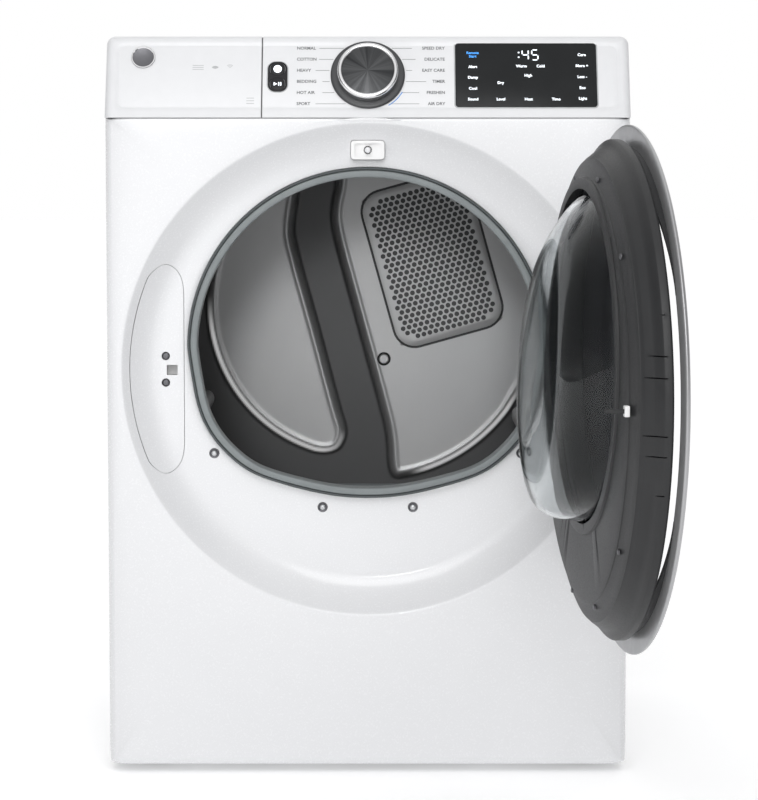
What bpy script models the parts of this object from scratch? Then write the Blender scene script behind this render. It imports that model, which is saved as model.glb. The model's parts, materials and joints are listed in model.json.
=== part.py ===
"""A full-size front-loading clothes dryer with its round door open.

Metres, +Z up. The parts are drawn in the cabinet's frame: X to the right, Y from the
front panel towards the back, Z from the floor. One empty then shifts that frame so that
the whole object, door open, is centred over the origin.
"""

import math

import bmesh
import bpy
from mathutils import Matrix, Vector

# Cabinet
WIDTH = 0.711
HEIGHT = 1.010
DEPTH = 0.700
SHEET = 0.002
GAP = 0.0005
BASE_Z = 0.014
PANEL_TOP = 0.8985
EDGE_RADIUS = 0.024
CONSOLE_DEPTH = 0.130
STEP_Y = 0.066
STEP_Z = 0.945
CENTRE = (0.0089, 0.0467)

# Recess, opening and drum
RECESS_Z = 0.5575
RECESS_RADIUS = 0.3345
FLAT_RADIUS = 0.282
RECESS_DEPTH = 0.035
DRUM_Z = 0.600
OPENING_Z = 0.586
OPENING_RADIUS = 0.2467
OPENING_BOTTOM = 0.378
SEAL_BAND = 0.014
DRUM_RADIUS = 0.325
DRUM_FRONT = 0.085
DRUM_BACK = 0.612
REAR_WALL_Y = 0.622

# Console face
TILT = math.radians(25.0)
FACE_HEIGHT = 0.117
KNOB_S = 0.0636
KNOB_RADIUS = 0.0414
KNOB_HEIGHT = 0.0175

# Drive
MOTOR = (-0.120, 0.135)
PULLEY_RADIUS = 0.0125
BELT_Y = 0.490
BELT_THICK = 0.0024
BELT_CLEAR = 0.0014
IDLER_RADIUS = 0.022
ROLLER_RADIUS = 0.0375
ROLLER_ANGLE = math.radians(35.0)
DUCT_RADIUS = 0.051
DUCT_Z = 0.105
BLADES = 8

# Door
DOOR_RADIUS = 0.330
RIM_Y = -0.040
HINGE_X = 0.282
HINGE_Y = -0.035
OPEN_ANGLE = math.radians(97.2)
BOWL_Z = 0.600
BOWL_RADIUS = 0.207
WINDOW_RADIUS = 0.2665
COLLAR_BACK = 0.0595

# Small features, as cabinet coordinates
FOOT_PLACES = [(x, y) for x in (-0.300, 0.300) for y in (0.095, 0.640)]
SCREW_PLACES = [(-0.2105, 0.441), (-0.0620, 0.3665), (0.0620, 0.3665), (0.2105, 0.441)]
SWITCH_HALF = 0.0230
SWITCH_Z = 0.8555
LATCH_Z = 0.5555
HINGE_MID = 0.5575
HANDLE_HALF = 49.0
DOOR_PIVOT = (HINGE_X, HINGE_Y, 0.0)
SEAM_X = -0.1432
FACE_LOW = 0.0106
FACE_TALL = 0.1024
PILL_X = -0.12205
PILL_S = 0.0612
DISPLAY = (0.2143, 0.0637)
BAFFLE_ANGLE = 87.0
GRILLE_X = 0.098
GRILLE_Z = 0.6937
GRILLE_TILT = math.radians(15.6)
BOSS_X = 0.0254
BOSS_Z = 0.5279
IDLER_PIVOT = (-0.255, 0.115)

WHITE = (0.84, 0.85, 0.86)
STEEL = (0.55, 0.56, 0.57)
DARK = (0.055, 0.057, 0.06)
SEAL_GREY = (0.20, 0.22, 0.225)
ALONG_Y = Matrix.Rotation(math.radians(-90.0), 4, "X")
ALONG_X = Matrix.Rotation(math.radians(90.0), 4, "Y")


def clear_scene():
    for obj in list(bpy.data.objects):
        bpy.data.objects.remove(obj)


def empty(name, location, parent=None):
    obj = bpy.data.objects.new(name, None)
    bpy.context.scene.collection.objects.link(obj)
    obj.location = location
    if parent:
        obj.parent = parent
    return obj


def material(name, colour, roughness=0.5, metallic=0.0, alpha=1.0):
    found = bpy.data.materials.get(name)
    if found:
        return found
    made = bpy.data.materials.new(name)
    made.use_nodes = True
    shader = made.node_tree.nodes["Principled BSDF"]
    shader.inputs["Base Color"].default_value = (*colour, 1.0)
    shader.inputs["Roughness"].default_value = roughness
    shader.inputs["Metallic"].default_value = metallic
    shader.inputs["Alpha"].default_value = alpha
    return made


def enamel():
    return material("white_enamel", WHITE, 0.3)


def steel():
    return material("zinc_steel", STEEL, 0.4, 0.9)


def dark_plastic():
    return material("dark_plastic", DARK, 0.45)


# Shapes. Each is a bmesh in cabinet coordinates.


def box(low, high, bevel=0.0):
    bm = bmesh.new()
    bmesh.ops.create_cube(bm, size=1.0)
    size = Vector(high) - Vector(low)
    middle = (Vector(high) + Vector(low)) / 2
    place = Matrix.Translation(middle) @ Matrix.Diagonal((*size, 1))
    bmesh.ops.transform(bm, matrix=place, verts=bm.verts)
    if bevel:
        bmesh.ops.bevel(bm, geom=bm.edges[:], offset=bevel, segments=2, profile=0.5, affect="EDGES")
    return bm


def turned(profile, steps=48, place=None):
    """A closed solid turned about local Z from (radius, height) points, which run round the section."""
    bm = bmesh.new()
    rings = []
    for radius, height in profile:
        if radius < 1e-6:
            rings.append([bm.verts.new((0, 0, height))] * steps)
            continue
        ring = []
        for i in range(steps):
            angle = 2 * math.pi * i / steps
            ring.append(bm.verts.new((radius * math.cos(angle), radius * math.sin(angle), height)))
        rings.append(ring)
    for k, ring in enumerate(rings):
        following = rings[(k + 1) % len(rings)]
        for i in range(steps):
            j = (i + 1) % steps
            corners = []
            for vert in (ring[i], ring[j], following[j], following[i]):
                if vert not in corners:
                    corners.append(vert)
            if len(corners) > 2:
                bm.faces.new(corners)
    bmesh.ops.recalc_face_normals(bm, faces=bm.faces)
    if place:
        bmesh.ops.transform(bm, matrix=place, verts=bm.verts)
    return bm


def rod(radius, start, end, steps=24):
    """A cylinder between two points."""
    start, end = Vector(start), Vector(end)
    turn = (end - start).to_track_quat("Z", "Y").to_matrix().to_4x4()
    length = (end - start).length
    profile = [(0, 0), (radius, 0), (radius, length), (0, length)]
    return turned(profile, steps, Matrix.Translation(start) @ turn)


def tube(outer, inner, start, end, steps=24):
    start, end = Vector(start), Vector(end)
    turn = (end - start).to_track_quat("Z", "Y").to_matrix().to_4x4()
    length = (end - start).length
    profile = [(inner, 0), (outer, 0), (outer, length), (inner, length)]
    return turned(profile, steps, Matrix.Translation(start) @ turn)


def extruded(outline, low, high, place=None):
    """A prism on a plane outline, from height low to high along local Z."""
    bm = bmesh.new()
    bottom = [bm.verts.new((x, y, low)) for x, y in outline]
    top = [bm.verts.new((x, y, high)) for x, y in outline]
    bm.faces.new(bottom[::-1])
    bm.faces.new(top)
    for i in range(len(outline)):
        j = (i + 1) % len(outline)
        bm.faces.new((bottom[i], bottom[j], top[j], top[i]))
    bmesh.ops.recalc_face_normals(bm, faces=bm.faces)
    if place:
        bmesh.ops.transform(bm, matrix=place, verts=bm.verts)
    return bm


def arc(centre, radius, start, end, count):
    """Points on a circle from angle start to end, in degrees."""
    points = []
    for i in range(count):
        angle = math.radians(start + (end - start) * i / (count - 1))
        points.append((centre[0] + radius * math.cos(angle), centre[1] + radius * math.sin(angle)))
    return points


def rounded(width, height, radius, count=5):
    """A rounded rectangle about the origin."""
    x, y = width / 2 - radius, height / 2 - radius
    points = []
    for cx, cy, start in ((x, y, 0), (-x, y, 90), (-x, -y, 180), (x, -y, 270)):
        points += arc((cx, cy), radius, start, start + 90, count)
    return points


def opening_outline(inset=0.0, count=44):
    """The round opening with its flattened bottom, as (x, z), grown inwards by inset."""
    radius = OPENING_RADIUS - inset
    bottom = OPENING_BOTTOM + inset
    low = math.degrees(math.asin((bottom + 0.016 - OPENING_Z) / radius))
    points = arc((0, OPENING_Z), radius, low, 180 - low, count)
    half = abs(points[0][0]) - 0.040
    sag = 0.010
    bottom_run = []
    for i in range(9):
        x = half * (2 * i / 8 - 1)
        bottom_run.append((x, bottom - sag * (1 - (x / half) ** 2) + sag))
    return points + bottom_run


def upright(outline, front, back):
    """A prism on an (x, z) outline between two Y planes."""
    return extruded(outline, -back, -front, Matrix.Rotation(math.radians(90.0), 4, "X"))


def on_face(x, s, out=0.0):
    """A place on the tilted console face, s up the slope and out along its normal."""
    y = s * math.sin(TILT) - out * math.cos(TILT)
    z = PANEL_TOP + GAP + s * math.cos(TILT) + out * math.sin(TILT)
    return Vector((x, y, z))


def face_place(x, s, out=0.0):
    """Local X right, local Y up the slope, local Z out of the console face."""
    return Matrix.Translation(on_face(x, s, out)) @ Matrix.Rotation(math.radians(90.0) - TILT, 4, "X")


# Objects


def add(name, bm, mat, parent, pivot=(0, 0, 0), sharp=35.0):
    """An object whose origin is at pivot, both in cabinet coordinates."""
    bmesh.ops.transform(bm, matrix=Matrix.Translation(-Vector(pivot)), verts=bm.verts)
    mesh = bpy.data.meshes.new(name)
    bm.to_mesh(mesh)
    bm.free()
    mesh.materials.append(mat)
    mesh.shade_smooth()
    mesh.set_sharp_from_angle(angle=math.radians(sharp))
    obj = bpy.data.objects.new(name, mesh)
    bpy.context.scene.collection.objects.link(obj)
    obj.parent = parent
    obj.location = Vector(pivot)
    if parent and parent.get("pivot"):
        obj.location -= Vector(parent["pivot"])
    return obj


def joined(target, bm, operation):
    """Adds a Boolean on target with a hidden helper object in cabinet coordinates."""
    number = len(target.modifiers) + 1
    helper = add(f"{target.name}.{operation.lower()}{number}", bm, target.data.materials[0], target.parent)
    helper.hide_render = True
    helper.display_type = "WIRE"
    modifier = target.modifiers.new(f"{operation.title()} {number}", "BOOLEAN")
    modifier.operation = operation
    modifier.object = helper


def cut(target, *shapes):
    for bm in shapes:
        joined(target, bm, "DIFFERENCE")


def weld(target, *shapes):
    for bm in shapes:
        joined(target, bm, "UNION")


# Cabinet


def dish_curve(offset):
    """The recess section as (radius, depth): a flat floor, a concave band and the rim."""
    points = [(0.0, RECESS_DEPTH + offset), (FLAT_RADIUS + offset * 0.3, RECESS_DEPTH + offset)]
    span = RECESS_RADIUS - FLAT_RADIUS
    for i in range(1, 6):
        t = i / 5
        depth = RECESS_DEPTH * math.cos(t * math.pi / 2) + offset
        points.append((FLAT_RADIUS + span * t + offset * 0.7, depth))
    return points


def dish_solid(near, far):
    """The dish shape filled from plane near to its own surface moved back by far."""
    profile = [(0.0, near), (RECESS_RADIUS + 0.7 * far, near)] + dish_curve(far)[::-1]
    return turned(profile, 44, Matrix.Translation((0, 0, RECESS_Z)) @ ALONG_Y)


def latch_outline(grow):
    """The D-shaped cover beside the opening, as (x, z)."""
    radius = RECESS_RADIUS - 0.011 + grow
    bow = arc((0, RECESS_Z), radius, 156.5, 203.5, 17)
    right = -0.2516 + grow
    top, bottom = RECESS_Z + 0.118, RECESS_Z - 0.118
    shoulder = 0.020
    points = bow + [(-0.2785 + grow, RECESS_Z - 0.145 - grow), (right - shoulder / 2, bottom - shoulder)]
    points += [(right, bottom), (right, top)]
    points += [(right - shoulder / 2, top + shoulder), (-0.2785 + grow, RECESS_Z + 0.145 + grow)]
    return points


def front_panel(cabinet):
    half = WIDTH / 2
    corner = EDGE_RADIUS
    outer = arc((-half + corner, corner), corner, 180, 270, 6)
    outer += arc((half - corner, corner), corner, 270, 360, 6)
    outer = [(-half, 0.040)] + outer + [(half, 0.040)]
    inner = []
    for x, y in outer:
        inner.append((x * (half - SHEET) / half, min(SHEET + y * (corner - SHEET) / corner, 0.040)))
    panel = add("front_panel", extruded(outer + inner[::-1], BASE_Z, PANEL_TOP), enamel(), cabinet)
    weld(panel, dish_solid(0.001, SHEET))
    cut(panel, dish_solid(-0.01, 0.0))
    cut(panel, upright(opening_outline(), 0.020, 0.050))
    cut(panel, upright(latch_outline(0.0003), -0.01, 0.060))
    low = (-SWITCH_HALF - GAP, 0.0, SWITCH_Z - 0.0135)
    cut(panel, box(low, (SWITCH_HALF + GAP, 0.06, SWITCH_Z + 0.0135)))
    for x, z in SCREW_PLACES:
        cut(panel, rod(0.0024, (x, 0.020, z), (x, 0.050, z), 12))


def side_panel(cabinet, name, sign):
    outer = sign * WIDTH / 2
    inner = outer - sign * SHEET
    low, high = min(outer, inner), max(outer, inner)
    sheet = box((low, 0.0405, BASE_Z), (high, DEPTH - 0.0035, PANEL_TOP - 0.001))
    panel = add(name, sheet, enamel(), cabinet)
    weld(panel, box((low, CONSOLE_DEPTH + GAP, 0.880), (high, DEPTH - 0.0035, HEIGHT - 0.0065)))
    weld(panel, box((low, STEP_Y + GAP, 0.885), (high, CONSOLE_DEPTH + 0.010, STEP_Z - GAP)))


def top_panel(cabinet):
    half = WIDTH / 2
    low, high = (-half, CONSOLE_DEPTH + GAP, HEIGHT - 0.006), (half, DEPTH, HEIGHT)
    add("top_panel", box(low, high, 0.0015), enamel(), cabinet)


def rear_panel(cabinet):
    half = WIDTH / 2
    low, high = (-half, DEPTH - 0.003, BASE_Z), (half, DEPTH - 0.001, HEIGHT - 0.0065)
    panel = add("rear_panel", box(low, high), steel(), cabinet)
    cut(panel, rod(DUCT_RADIUS + 0.003, (0, DEPTH - 0.02, DUCT_Z), (0, DEPTH + 0.02, DUCT_Z), 32))
    for row in range(6):
        z = 0.62 + 0.022 * row
        cut(panel, box((-0.24, DEPTH - 0.02, z), (-0.12, DEPTH + 0.02, z + 0.008)))


def base_pan(cabinet):
    half = WIDTH / 2 - SHEET - GAP
    pan = add("base_pan", box((-half, 0.0405, BASE_Z), (half, DEPTH - 0.0035, 0.030)), steel(), cabinet)
    cut(pan, box((-half + SHEET, 0.0425, BASE_Z + SHEET), (half - SHEET, DEPTH - 0.0055, 0.050)))
    for x, y in FOOT_PLACES:
        weld(pan, rod(0.012, (x, y, BASE_Z + 0.001), (x, y, 0.026), 12))
        cut(pan, rod(0.0056, (x, y, 0.0), (x, y, 0.050), 12))


def levelling_feet(cabinet):
    for number, (x, y) in enumerate(FOOT_PLACES, 1):
        profile = [(0, 0), (0.017, 0), (0.019, 0.002), (0.017, 0.009), (0.005, 0.011), (0.005, 0.045),
                   (0, 0.045)]
        foot = turned(profile, 16, Matrix.Translation((x, y, 0)))
        add(f"levelling_foot_{number}", foot, dark_plastic(), cabinet, (x, y, 0))


def front_bulkhead(cabinet):
    bulkhead = add("front_bulkhead", box((-0.338, 0.0705, 0.180), (0.338, 0.0725, 0.940)), steel(), cabinet)
    drum_axis = Matrix.Translation((0, 0, DRUM_Z)) @ ALONG_Y
    rim = [(0.300, 0.0715), (0.303, 0.0715), (0.303, 0.0835), (0.300, 0.0835)]
    weld(bulkhead, turned(rim, 40, drum_axis))
    cut(bulkhead, upright(opening_outline(0.004, 40), 0.060, 0.080))


def door_seal(cabinet):
    rubber = material("seal", SEAL_GREY, 0.6)
    seal = add("door_seal", upright(opening_outline(GAP), 0.0205, 0.050), rubber, cabinet)
    cut(seal, upright(opening_outline(SEAL_BAND), 0.010, 0.060))


def latch_side(cabinet):
    plate = add("latch_plate", dish_solid(0.0, SHEET), enamel(), cabinet)
    cut(plate, dish_solid(-0.01, 0.0))
    joined(plate, upright(latch_outline(0.0), -0.01, 0.060), "INTERSECT")
    cut(plate, box((-0.2755, 0.0, LATCH_Z - 0.0075), (-0.2600, 0.060, LATCH_Z + 0.0075)))
    body = box((-0.2790, 0.0380, LATCH_Z - 0.011), (-0.2565, 0.0640, LATCH_Z + 0.011), 0.001)
    catch = add("door_catch", body, material("catch_white", (0.8, 0.8, 0.8), 0.5), cabinet)
    cut(catch, box((-0.2755, 0.030, LATCH_Z - 0.0075), (-0.2600, 0.060, LATCH_Z + 0.0075)))


def door_switch(cabinet):
    low = (-SWITCH_HALF, 0.0230, SWITCH_Z - 0.013)
    high = (SWITCH_HALF, 0.0480, SWITCH_Z + 0.013)
    housing = add("door_switch_housing", box(low, high, 0.0015), enamel(), cabinet)
    cut(housing, rod(0.0046, (0, 0.010, SWITCH_Z), (0, 0.0465, SWITCH_Z), 20))
    profile = [(0, 0), (0.0026, 0), (0.0040, 0.0014), (0.0040, 0.024), (0, 0.024)]
    place = Matrix.Translation((0, 0.0165, SWITCH_Z)) @ ALONG_Y
    add("door_switch_button", turned(profile, 20, place), material("catch_white", WHITE), cabinet,
        (0, 0.0165, SWITCH_Z))


def panel_screws(cabinet):
    profile = [(0, -0.0022), (0.0030, -0.0020), (0.0046, -0.0006), (0.0046, -0.0003),
               (0.0020, -0.0003), (0.0020, 0.0035), (0, 0.0035)]
    for number, (x, z) in enumerate(SCREW_PLACES, 1):
        place = Matrix.Translation((x, RECESS_DEPTH, z)) @ ALONG_Y
        add(f"panel_screw_{number}", turned(profile, 12, place), steel(), cabinet)


def lint_parts(cabinet):
    duct = add("lint_duct", box((-0.145, 0.0395, 0.165), (0.145, 0.0700, 0.3700)), dark_plastic(), cabinet)
    cut(duct, box((-0.142, 0.0415, 0.168), (0.142, 0.0680, 0.390)))
    cut(duct, rod(0.040, (MOTOR[0], 0.060, 0.215), (MOTOR[0], 0.090, 0.215), 20))
    lip = box((-0.0625, 0.0515, 0.3850), (0.0625, 0.0695, 0.3955), 0.002)
    screen = add("lint_filter", lip, material("filter_blue_grey", SEAL_GREY), cabinet)
    weld(screen, box((-0.130, 0.0550, 0.200), (0.130, 0.0640, 0.3900)))


def moisture_sensor(cabinet):
    strip = box((-0.165, 0.0735, 0.400), (-0.120, 0.0765, 0.408), 0.001)
    bar = add("moisture_sensor", strip, steel(), cabinet)
    weld(bar, box((-0.125, 0.0735, 0.400), (-0.117, 0.0765, 0.425)))


# Console


def console_housing(cabinet):
    run, rise = FACE_HEIGHT * math.sin(TILT), FACE_HEIGHT * math.cos(TILT)
    foot = PANEL_TOP + GAP
    side = [(0.0, foot), (STEP_Y, foot), (STEP_Y, STEP_Z), (CONSOLE_DEPTH, STEP_Z)]
    side += [(CONSOLE_DEPTH, HEIGHT - 0.001)]
    side += arc((run + 0.0095, foot + rise - 0.0045), 0.0105, 90, 155, 5)
    across = Matrix(((0, 0, 1, 0), (1, 0, 0, 0), (0, 1, 0, 0), (0, 0, 0, 1)))
    half = WIDTH / 2
    housing = add("console_housing", extruded(side, -half, half, across), enamel(), cabinet)
    shoulder = 0.020
    front = [(-half, foot - 0.01), (half, foot - 0.01)]
    front += arc((half - shoulder - 0.001, HEIGHT - shoulder), shoulder, 0, 90, 6)
    front += arc((-half + shoulder + 0.001, HEIGHT - shoulder), shoulder, 90, 180, 6)
    joined(housing, upright(front, -0.02, 0.20), "INTERSECT")
    wall = 0.003
    low, high = on_face(0, 0.008, -0.006), on_face(0, 0.112, -0.006)
    back = CONSOLE_DEPTH - wall
    inside = [(low.y, foot - 0.01), (STEP_Y - wall, foot - 0.01), (STEP_Y - wall, STEP_Z + wall)]
    inside += [(back, STEP_Z + wall), (back, HEIGHT - 0.005), (high.y + 0.006, HEIGHT - 0.005)]
    inside += [(high.y, high.z), (low.y, low.z)]
    cut(housing, extruded(inside, -half + wall + 0.018, half - wall - 0.018, across))
    middle = FACE_LOW + FACE_TALL / 2
    cut(housing, extruded(rounded(0.6850, FACE_TALL, 0.012), -0.0015, 0.02, face_place(0, middle)))
    cut(housing, extruded(rounded(0.0275, 0.0505, 0.0125), -0.03, 0.01, face_place(PILL_X, PILL_S)))
    cut(housing, rod(0.007, on_face(0, KNOB_S, -0.03), on_face(0, KNOB_S, 0.01), 16))


def fascias(cabinet):
    half = 0.3420
    middle = FACE_LOW + FACE_TALL / 2
    tall = FACE_TALL - 2 * GAP
    for name, left, right in (("fascia_left", -half, SEAM_X), ("fascia_right", SEAM_X + 0.0006, half)):
        plate = add(name, extruded(rounded(2 * half, tall, 0.0115), -0.0012, -0.0003, face_place(0, middle)),
                    material("fascia_white", WHITE, 0.35), cabinet)
        width = right - left
        block = extruded(rounded(width, 0.2, 0.0001, 2), -0.02, 0.02, face_place((left + right) / 2, middle))
        joined(plate, block, "INTERSECT")
        if name == "fascia_right":
            cut(plate, extruded(rounded(0.0275, 0.0505, 0.0125), -0.03, 0.01, face_place(PILL_X, PILL_S)))
            cut(plate, extruded(rounded(0.1925, 0.0967, 0.0040), -0.03, 0.01, face_place(*DISPLAY)))
            cut(plate, rod(0.007, on_face(0, KNOB_S, -0.03), on_face(0, KNOB_S, 0.01), 16))


def display(cabinet):
    lens = extruded(rounded(0.1915, 0.0957, 0.0038), -0.0012, 0.0004, face_place(*DISPLAY))
    add("display_lens", lens, material("display_black", (0.02, 0.02, 0.022), 0.12), cabinet)
    board = extruded(rounded(0.240, 0.080, 0.003, 2), -0.0100, -0.0084, face_place(0.205, 0.064))
    add("control_board", board, material("board_green", (0.03, 0.16, 0.07), 0.5), cabinet)


def dial(cabinet):
    ring = [(0.0075, 0.0), (0.0490, 0.0), (0.0505, 0.0012), (0.0490, 0.0035), (0.0075, 0.0035)]
    add("dial_base_ring", turned(ring, 40, face_place(0, KNOB_S)), dark_plastic(), cabinet)
    r = KNOB_RADIUS
    profile = [(0, -0.012), (0.0062, -0.012), (0.0062, 0.0042), (r - 0.001, 0.0042), (r, 0.0055)]
    profile += [(r, 0.0155), (r - 0.0015, KNOB_HEIGHT), (r - 0.0055, KNOB_HEIGHT)]
    profile += [(r - 0.0072, KNOB_HEIGHT - 0.0012), (0, KNOB_HEIGHT - 0.0012)]
    chrome = material("knob_chrome", (0.6, 0.6, 0.62), 0.2, 1.0)
    add("cycle_knob", turned(profile, 40, face_place(0, KNOB_S)), chrome, cabinet, on_face(0, KNOB_S))


def buttons(cabinet):
    black = material("button_black", (0.02, 0.02, 0.022), 0.3)
    bezel = add("button_surround", extruded(rounded(0.0265, 0.0495, 0.0120), -0.0080, 0.0012,
                                            face_place(PILL_X, PILL_S)), black, cabinet)
    for name, s in (("power_button", PILL_S + 0.0115), ("start_button", PILL_S - 0.0115)):
        cut(bezel, extruded(rounded(0.0206, 0.0206, 0.0085), -0.0060, 0.01, face_place(PILL_X, s)))
        cap = extruded(rounded(0.0196, 0.0196, 0.0080), -0.0030, 0.0020, face_place(PILL_X, s))
        add(name, cap, black, cabinet, on_face(PILL_X, s))


# Drum and rear wall


def drum(cabinet):
    place = Matrix.Translation((0, 0, DRUM_Z)) @ ALONG_Y
    grey = material("drum_grey", (0.42, 0.43, 0.44), 0.35, 0.3)
    r, wall = DRUM_RADIUS, 0.0015
    profile = [(0.306, DRUM_FRONT), (r, DRUM_FRONT), (r, DRUM_BACK), (0.308, DRUM_BACK)]
    profile += [(0.308, DRUM_BACK - wall), (r - wall, DRUM_BACK - wall)]
    profile += [(r - wall, DRUM_FRONT + wall), (0.306, DRUM_FRONT + wall)]
    add("drum", turned(profile, 48, place), grey, cabinet, (0, 0, DRUM_Z), 60.0)
    for number in range(3):
        angle = math.radians(BAFFLE_ANGLE + 120 * number)
        foot = DRUM_RADIUS - wall - 0.0018
        base, crest = 0.0008 - foot, 0.055 - foot
        outline = [(-0.030, base), (0.030, base), (0.012, crest), (-0.012, crest)]
        baffle = extruded(outline, DRUM_FRONT + 0.020, DRUM_BACK - 0.020, ALONG_Y)
        bmesh.ops.bevel(baffle, geom=baffle.edges[:], offset=0.004, segments=1, affect="EDGES")
        turn = Matrix.Rotation(math.radians(90.0) - angle, 4, "Y")
        bmesh.ops.transform(baffle, matrix=Matrix.Translation((0, 0, DRUM_Z)) @ turn, verts=baffle.verts)
        add(f"drum_baffle_{number + 1}", baffle, grey, cabinet, (0, 0, DRUM_Z))


def left_pad_outline():
    """The raised pad left of the channel, as (x, z)."""
    edge = arc((0, DRUM_Z), 0.300, 112, 192, 12)
    edge += [(-0.262, 0.540), (-0.235, 0.478)]
    edge += arc((0, DRUM_Z), 0.228, 218, 250, 6)
    edge += [(-0.0480, 0.400), (-0.0370, 0.418), (-0.0462, 0.4505), (-0.0786, 0.5766)]
    return edge + [(-0.1143, 0.7028), (-0.1190, 0.7349), (-0.1085, 0.7926)]


def right_pad_outline():
    """The raised pad right of the channel, as (x, z)."""
    edge = arc((0, DRUM_Z), 0.300, -20, 100, 16)
    edge += [(-0.0440, 0.8086), (-0.0560, 0.7638), (-0.0532, 0.7278), (-0.0208, 0.6095), (0.0188, 0.4647)]
    return edge + [(0.0333, 0.4102), (0.0300, 0.3635)] + arc((0, DRUM_Z), 0.268, 283, 328, 8)


def rear_wall(cabinet):
    grey = material("drum_grey", (0.42, 0.43, 0.44), 0.35, 0.3)
    wall_back = REAR_WALL_Y + 0.016
    sheet = box((-0.320, wall_back - 0.003, 0.230), (0.320, wall_back, 0.960))
    wall = add("rear_bulkhead", sheet, grey, cabinet)
    for outline in (left_pad_outline(), right_pad_outline()):
        weld(wall, upright(outline, REAR_WALL_Y, wall_back - 0.001))
    tilt = Matrix.Rotation(-GRILLE_TILT, 4, "Y")
    place = Matrix.Translation((GRILLE_X, 0, GRILLE_Z)) @ tilt
    hole = upright(rounded(0.160, 0.204, 0.026), REAR_WALL_Y + 0.002, wall_back + 0.01)
    bmesh.ops.transform(hole, matrix=place, verts=hole.verts)
    recess = upright(rounded(0.1725, 0.2165, 0.032), REAR_WALL_Y - 0.01, REAR_WALL_Y + 0.003)
    bmesh.ops.transform(recess, matrix=place, verts=recess.verts)
    cut(wall, recess, hole)
    for side in (-1, 1):
        x, z = roller_centre(side)
        stud = [(0, 0.573), (0.0058, 0.573), (0.0058, 0.5948), (0.0090, 0.5948), (0.0090, wall_back - 0.001),
                (0, wall_back - 0.001)]
        weld(wall, turned(stud, 16, Matrix.Translation((x, 0, z)) @ ALONG_Y))
    cut(wall, rod(0.0070, (BOSS_X, REAR_WALL_Y - 0.01, BOSS_Z), (BOSS_X, wall_back + 0.02, BOSS_Z), 16))
    grille = upright(rounded(0.1715, 0.2155, 0.0315), REAR_WALL_Y + 0.0008, REAR_WALL_Y + 0.0026)
    bmesh.ops.transform(grille, matrix=place, verts=grille.verts)
    add("air_inlet_grille", grille, grey, cabinet)
    profile = [(0, -0.004), (0.0060, -0.004), (0.0070, -0.0055), (0.0110, -0.0055), (0.0110, -0.0004),
               (0.0065, -0.0004), (0.0065, 0.024), (0, 0.024)]
    boss = turned(profile, 24, Matrix.Translation((BOSS_X, REAR_WALL_Y, BOSS_Z)) @ ALONG_Y)
    add("thermistor", boss, steel(), cabinet)
    heater = box((-0.010, wall_back + GAP, 0.560), (0.205, DEPTH - 0.0045, 0.830), 0.012)
    housing = add("heater_housing", heater, steel(), cabinet)
    cut(housing, box((0.010, wall_back - 0.02, 0.590), (0.185, DEPTH - 0.012, 0.800)))


# Drive


def roller_centre(side):
    reach = DRUM_RADIUS + ROLLER_RADIUS + 0.0006
    return side * reach * math.sin(ROLLER_ANGLE), DRUM_Z - reach * math.cos(ROLLER_ANGLE)


def drum_rollers(cabinet):
    for side, name in ((-1, "left"), (1, "right")):
        x, z = roller_centre(side)
        wheel = tube(ROLLER_RADIUS, 0.0065, (x, 0.574, z), (x, 0.594, z), 32)
        rubber = material("roller_rubber", (0.06, 0.06, 0.06), 0.7)
        add(f"drum_roller_{name}", wheel, rubber, cabinet, (x, 0.584, z))


def belt_outline(extra):
    """The belt path round the drum and the motor pulley, as (x, z), grown outwards by extra."""
    big, small = Vector((0, DRUM_Z)), Vector(MOTOR)
    way = small - big
    heading = math.degrees(math.atan2(way.y, way.x))
    drum_r, pulley_r = DRUM_RADIUS + BELT_CLEAR + extra, PULLEY_RADIUS + GAP + extra
    spread = math.degrees(math.acos((drum_r - pulley_r) / way.length))
    return (arc(big, drum_r, heading + spread, heading + 360 - spread, 40)
            + arc(small, pulley_r, heading - spread, heading + spread, 10))


def drum_belt(cabinet):
    belt = upright(belt_outline(BELT_THICK), BELT_Y - 0.005, BELT_Y + 0.005)
    band = add("drum_belt", belt, material("belt_rubber", (0.03, 0.03, 0.03), 0.7), cabinet)
    cut(band, upright(belt_outline(0.0), BELT_Y - 0.02, BELT_Y + 0.02))


def motor(cabinet):
    x, z = MOTOR
    place = Matrix.Translation((x, 0, z)) @ ALONG_Y
    body = [(0.0070, 0.260), (0.030, 0.260), (0.050, 0.270), (0.062, 0.285), (0.062, 0.415), (0.050, 0.430),
            (0.030, 0.440), (0.0070, 0.440)]
    shell = add("motor", turned(body, 24, place), steel(), cabinet)
    weld(shell, box((x - 0.055, 0.300, 0.0165), (x + 0.050, 0.400, z - 0.030)))
    r = PULLEY_RADIUS
    shaft = [(0, 0.118), (0.0062, 0.118), (0.0062, 0.4750), (0.016, 0.4750), (0.016, 0.4820), (r, 0.4835),
             (r, 0.4965), (0.016, 0.4980), (0.016, 0.5050), (0, 0.5050)]
    add("motor_pulley", turned(shaft, 24, place), steel(), cabinet, (x, 0, z))


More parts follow.
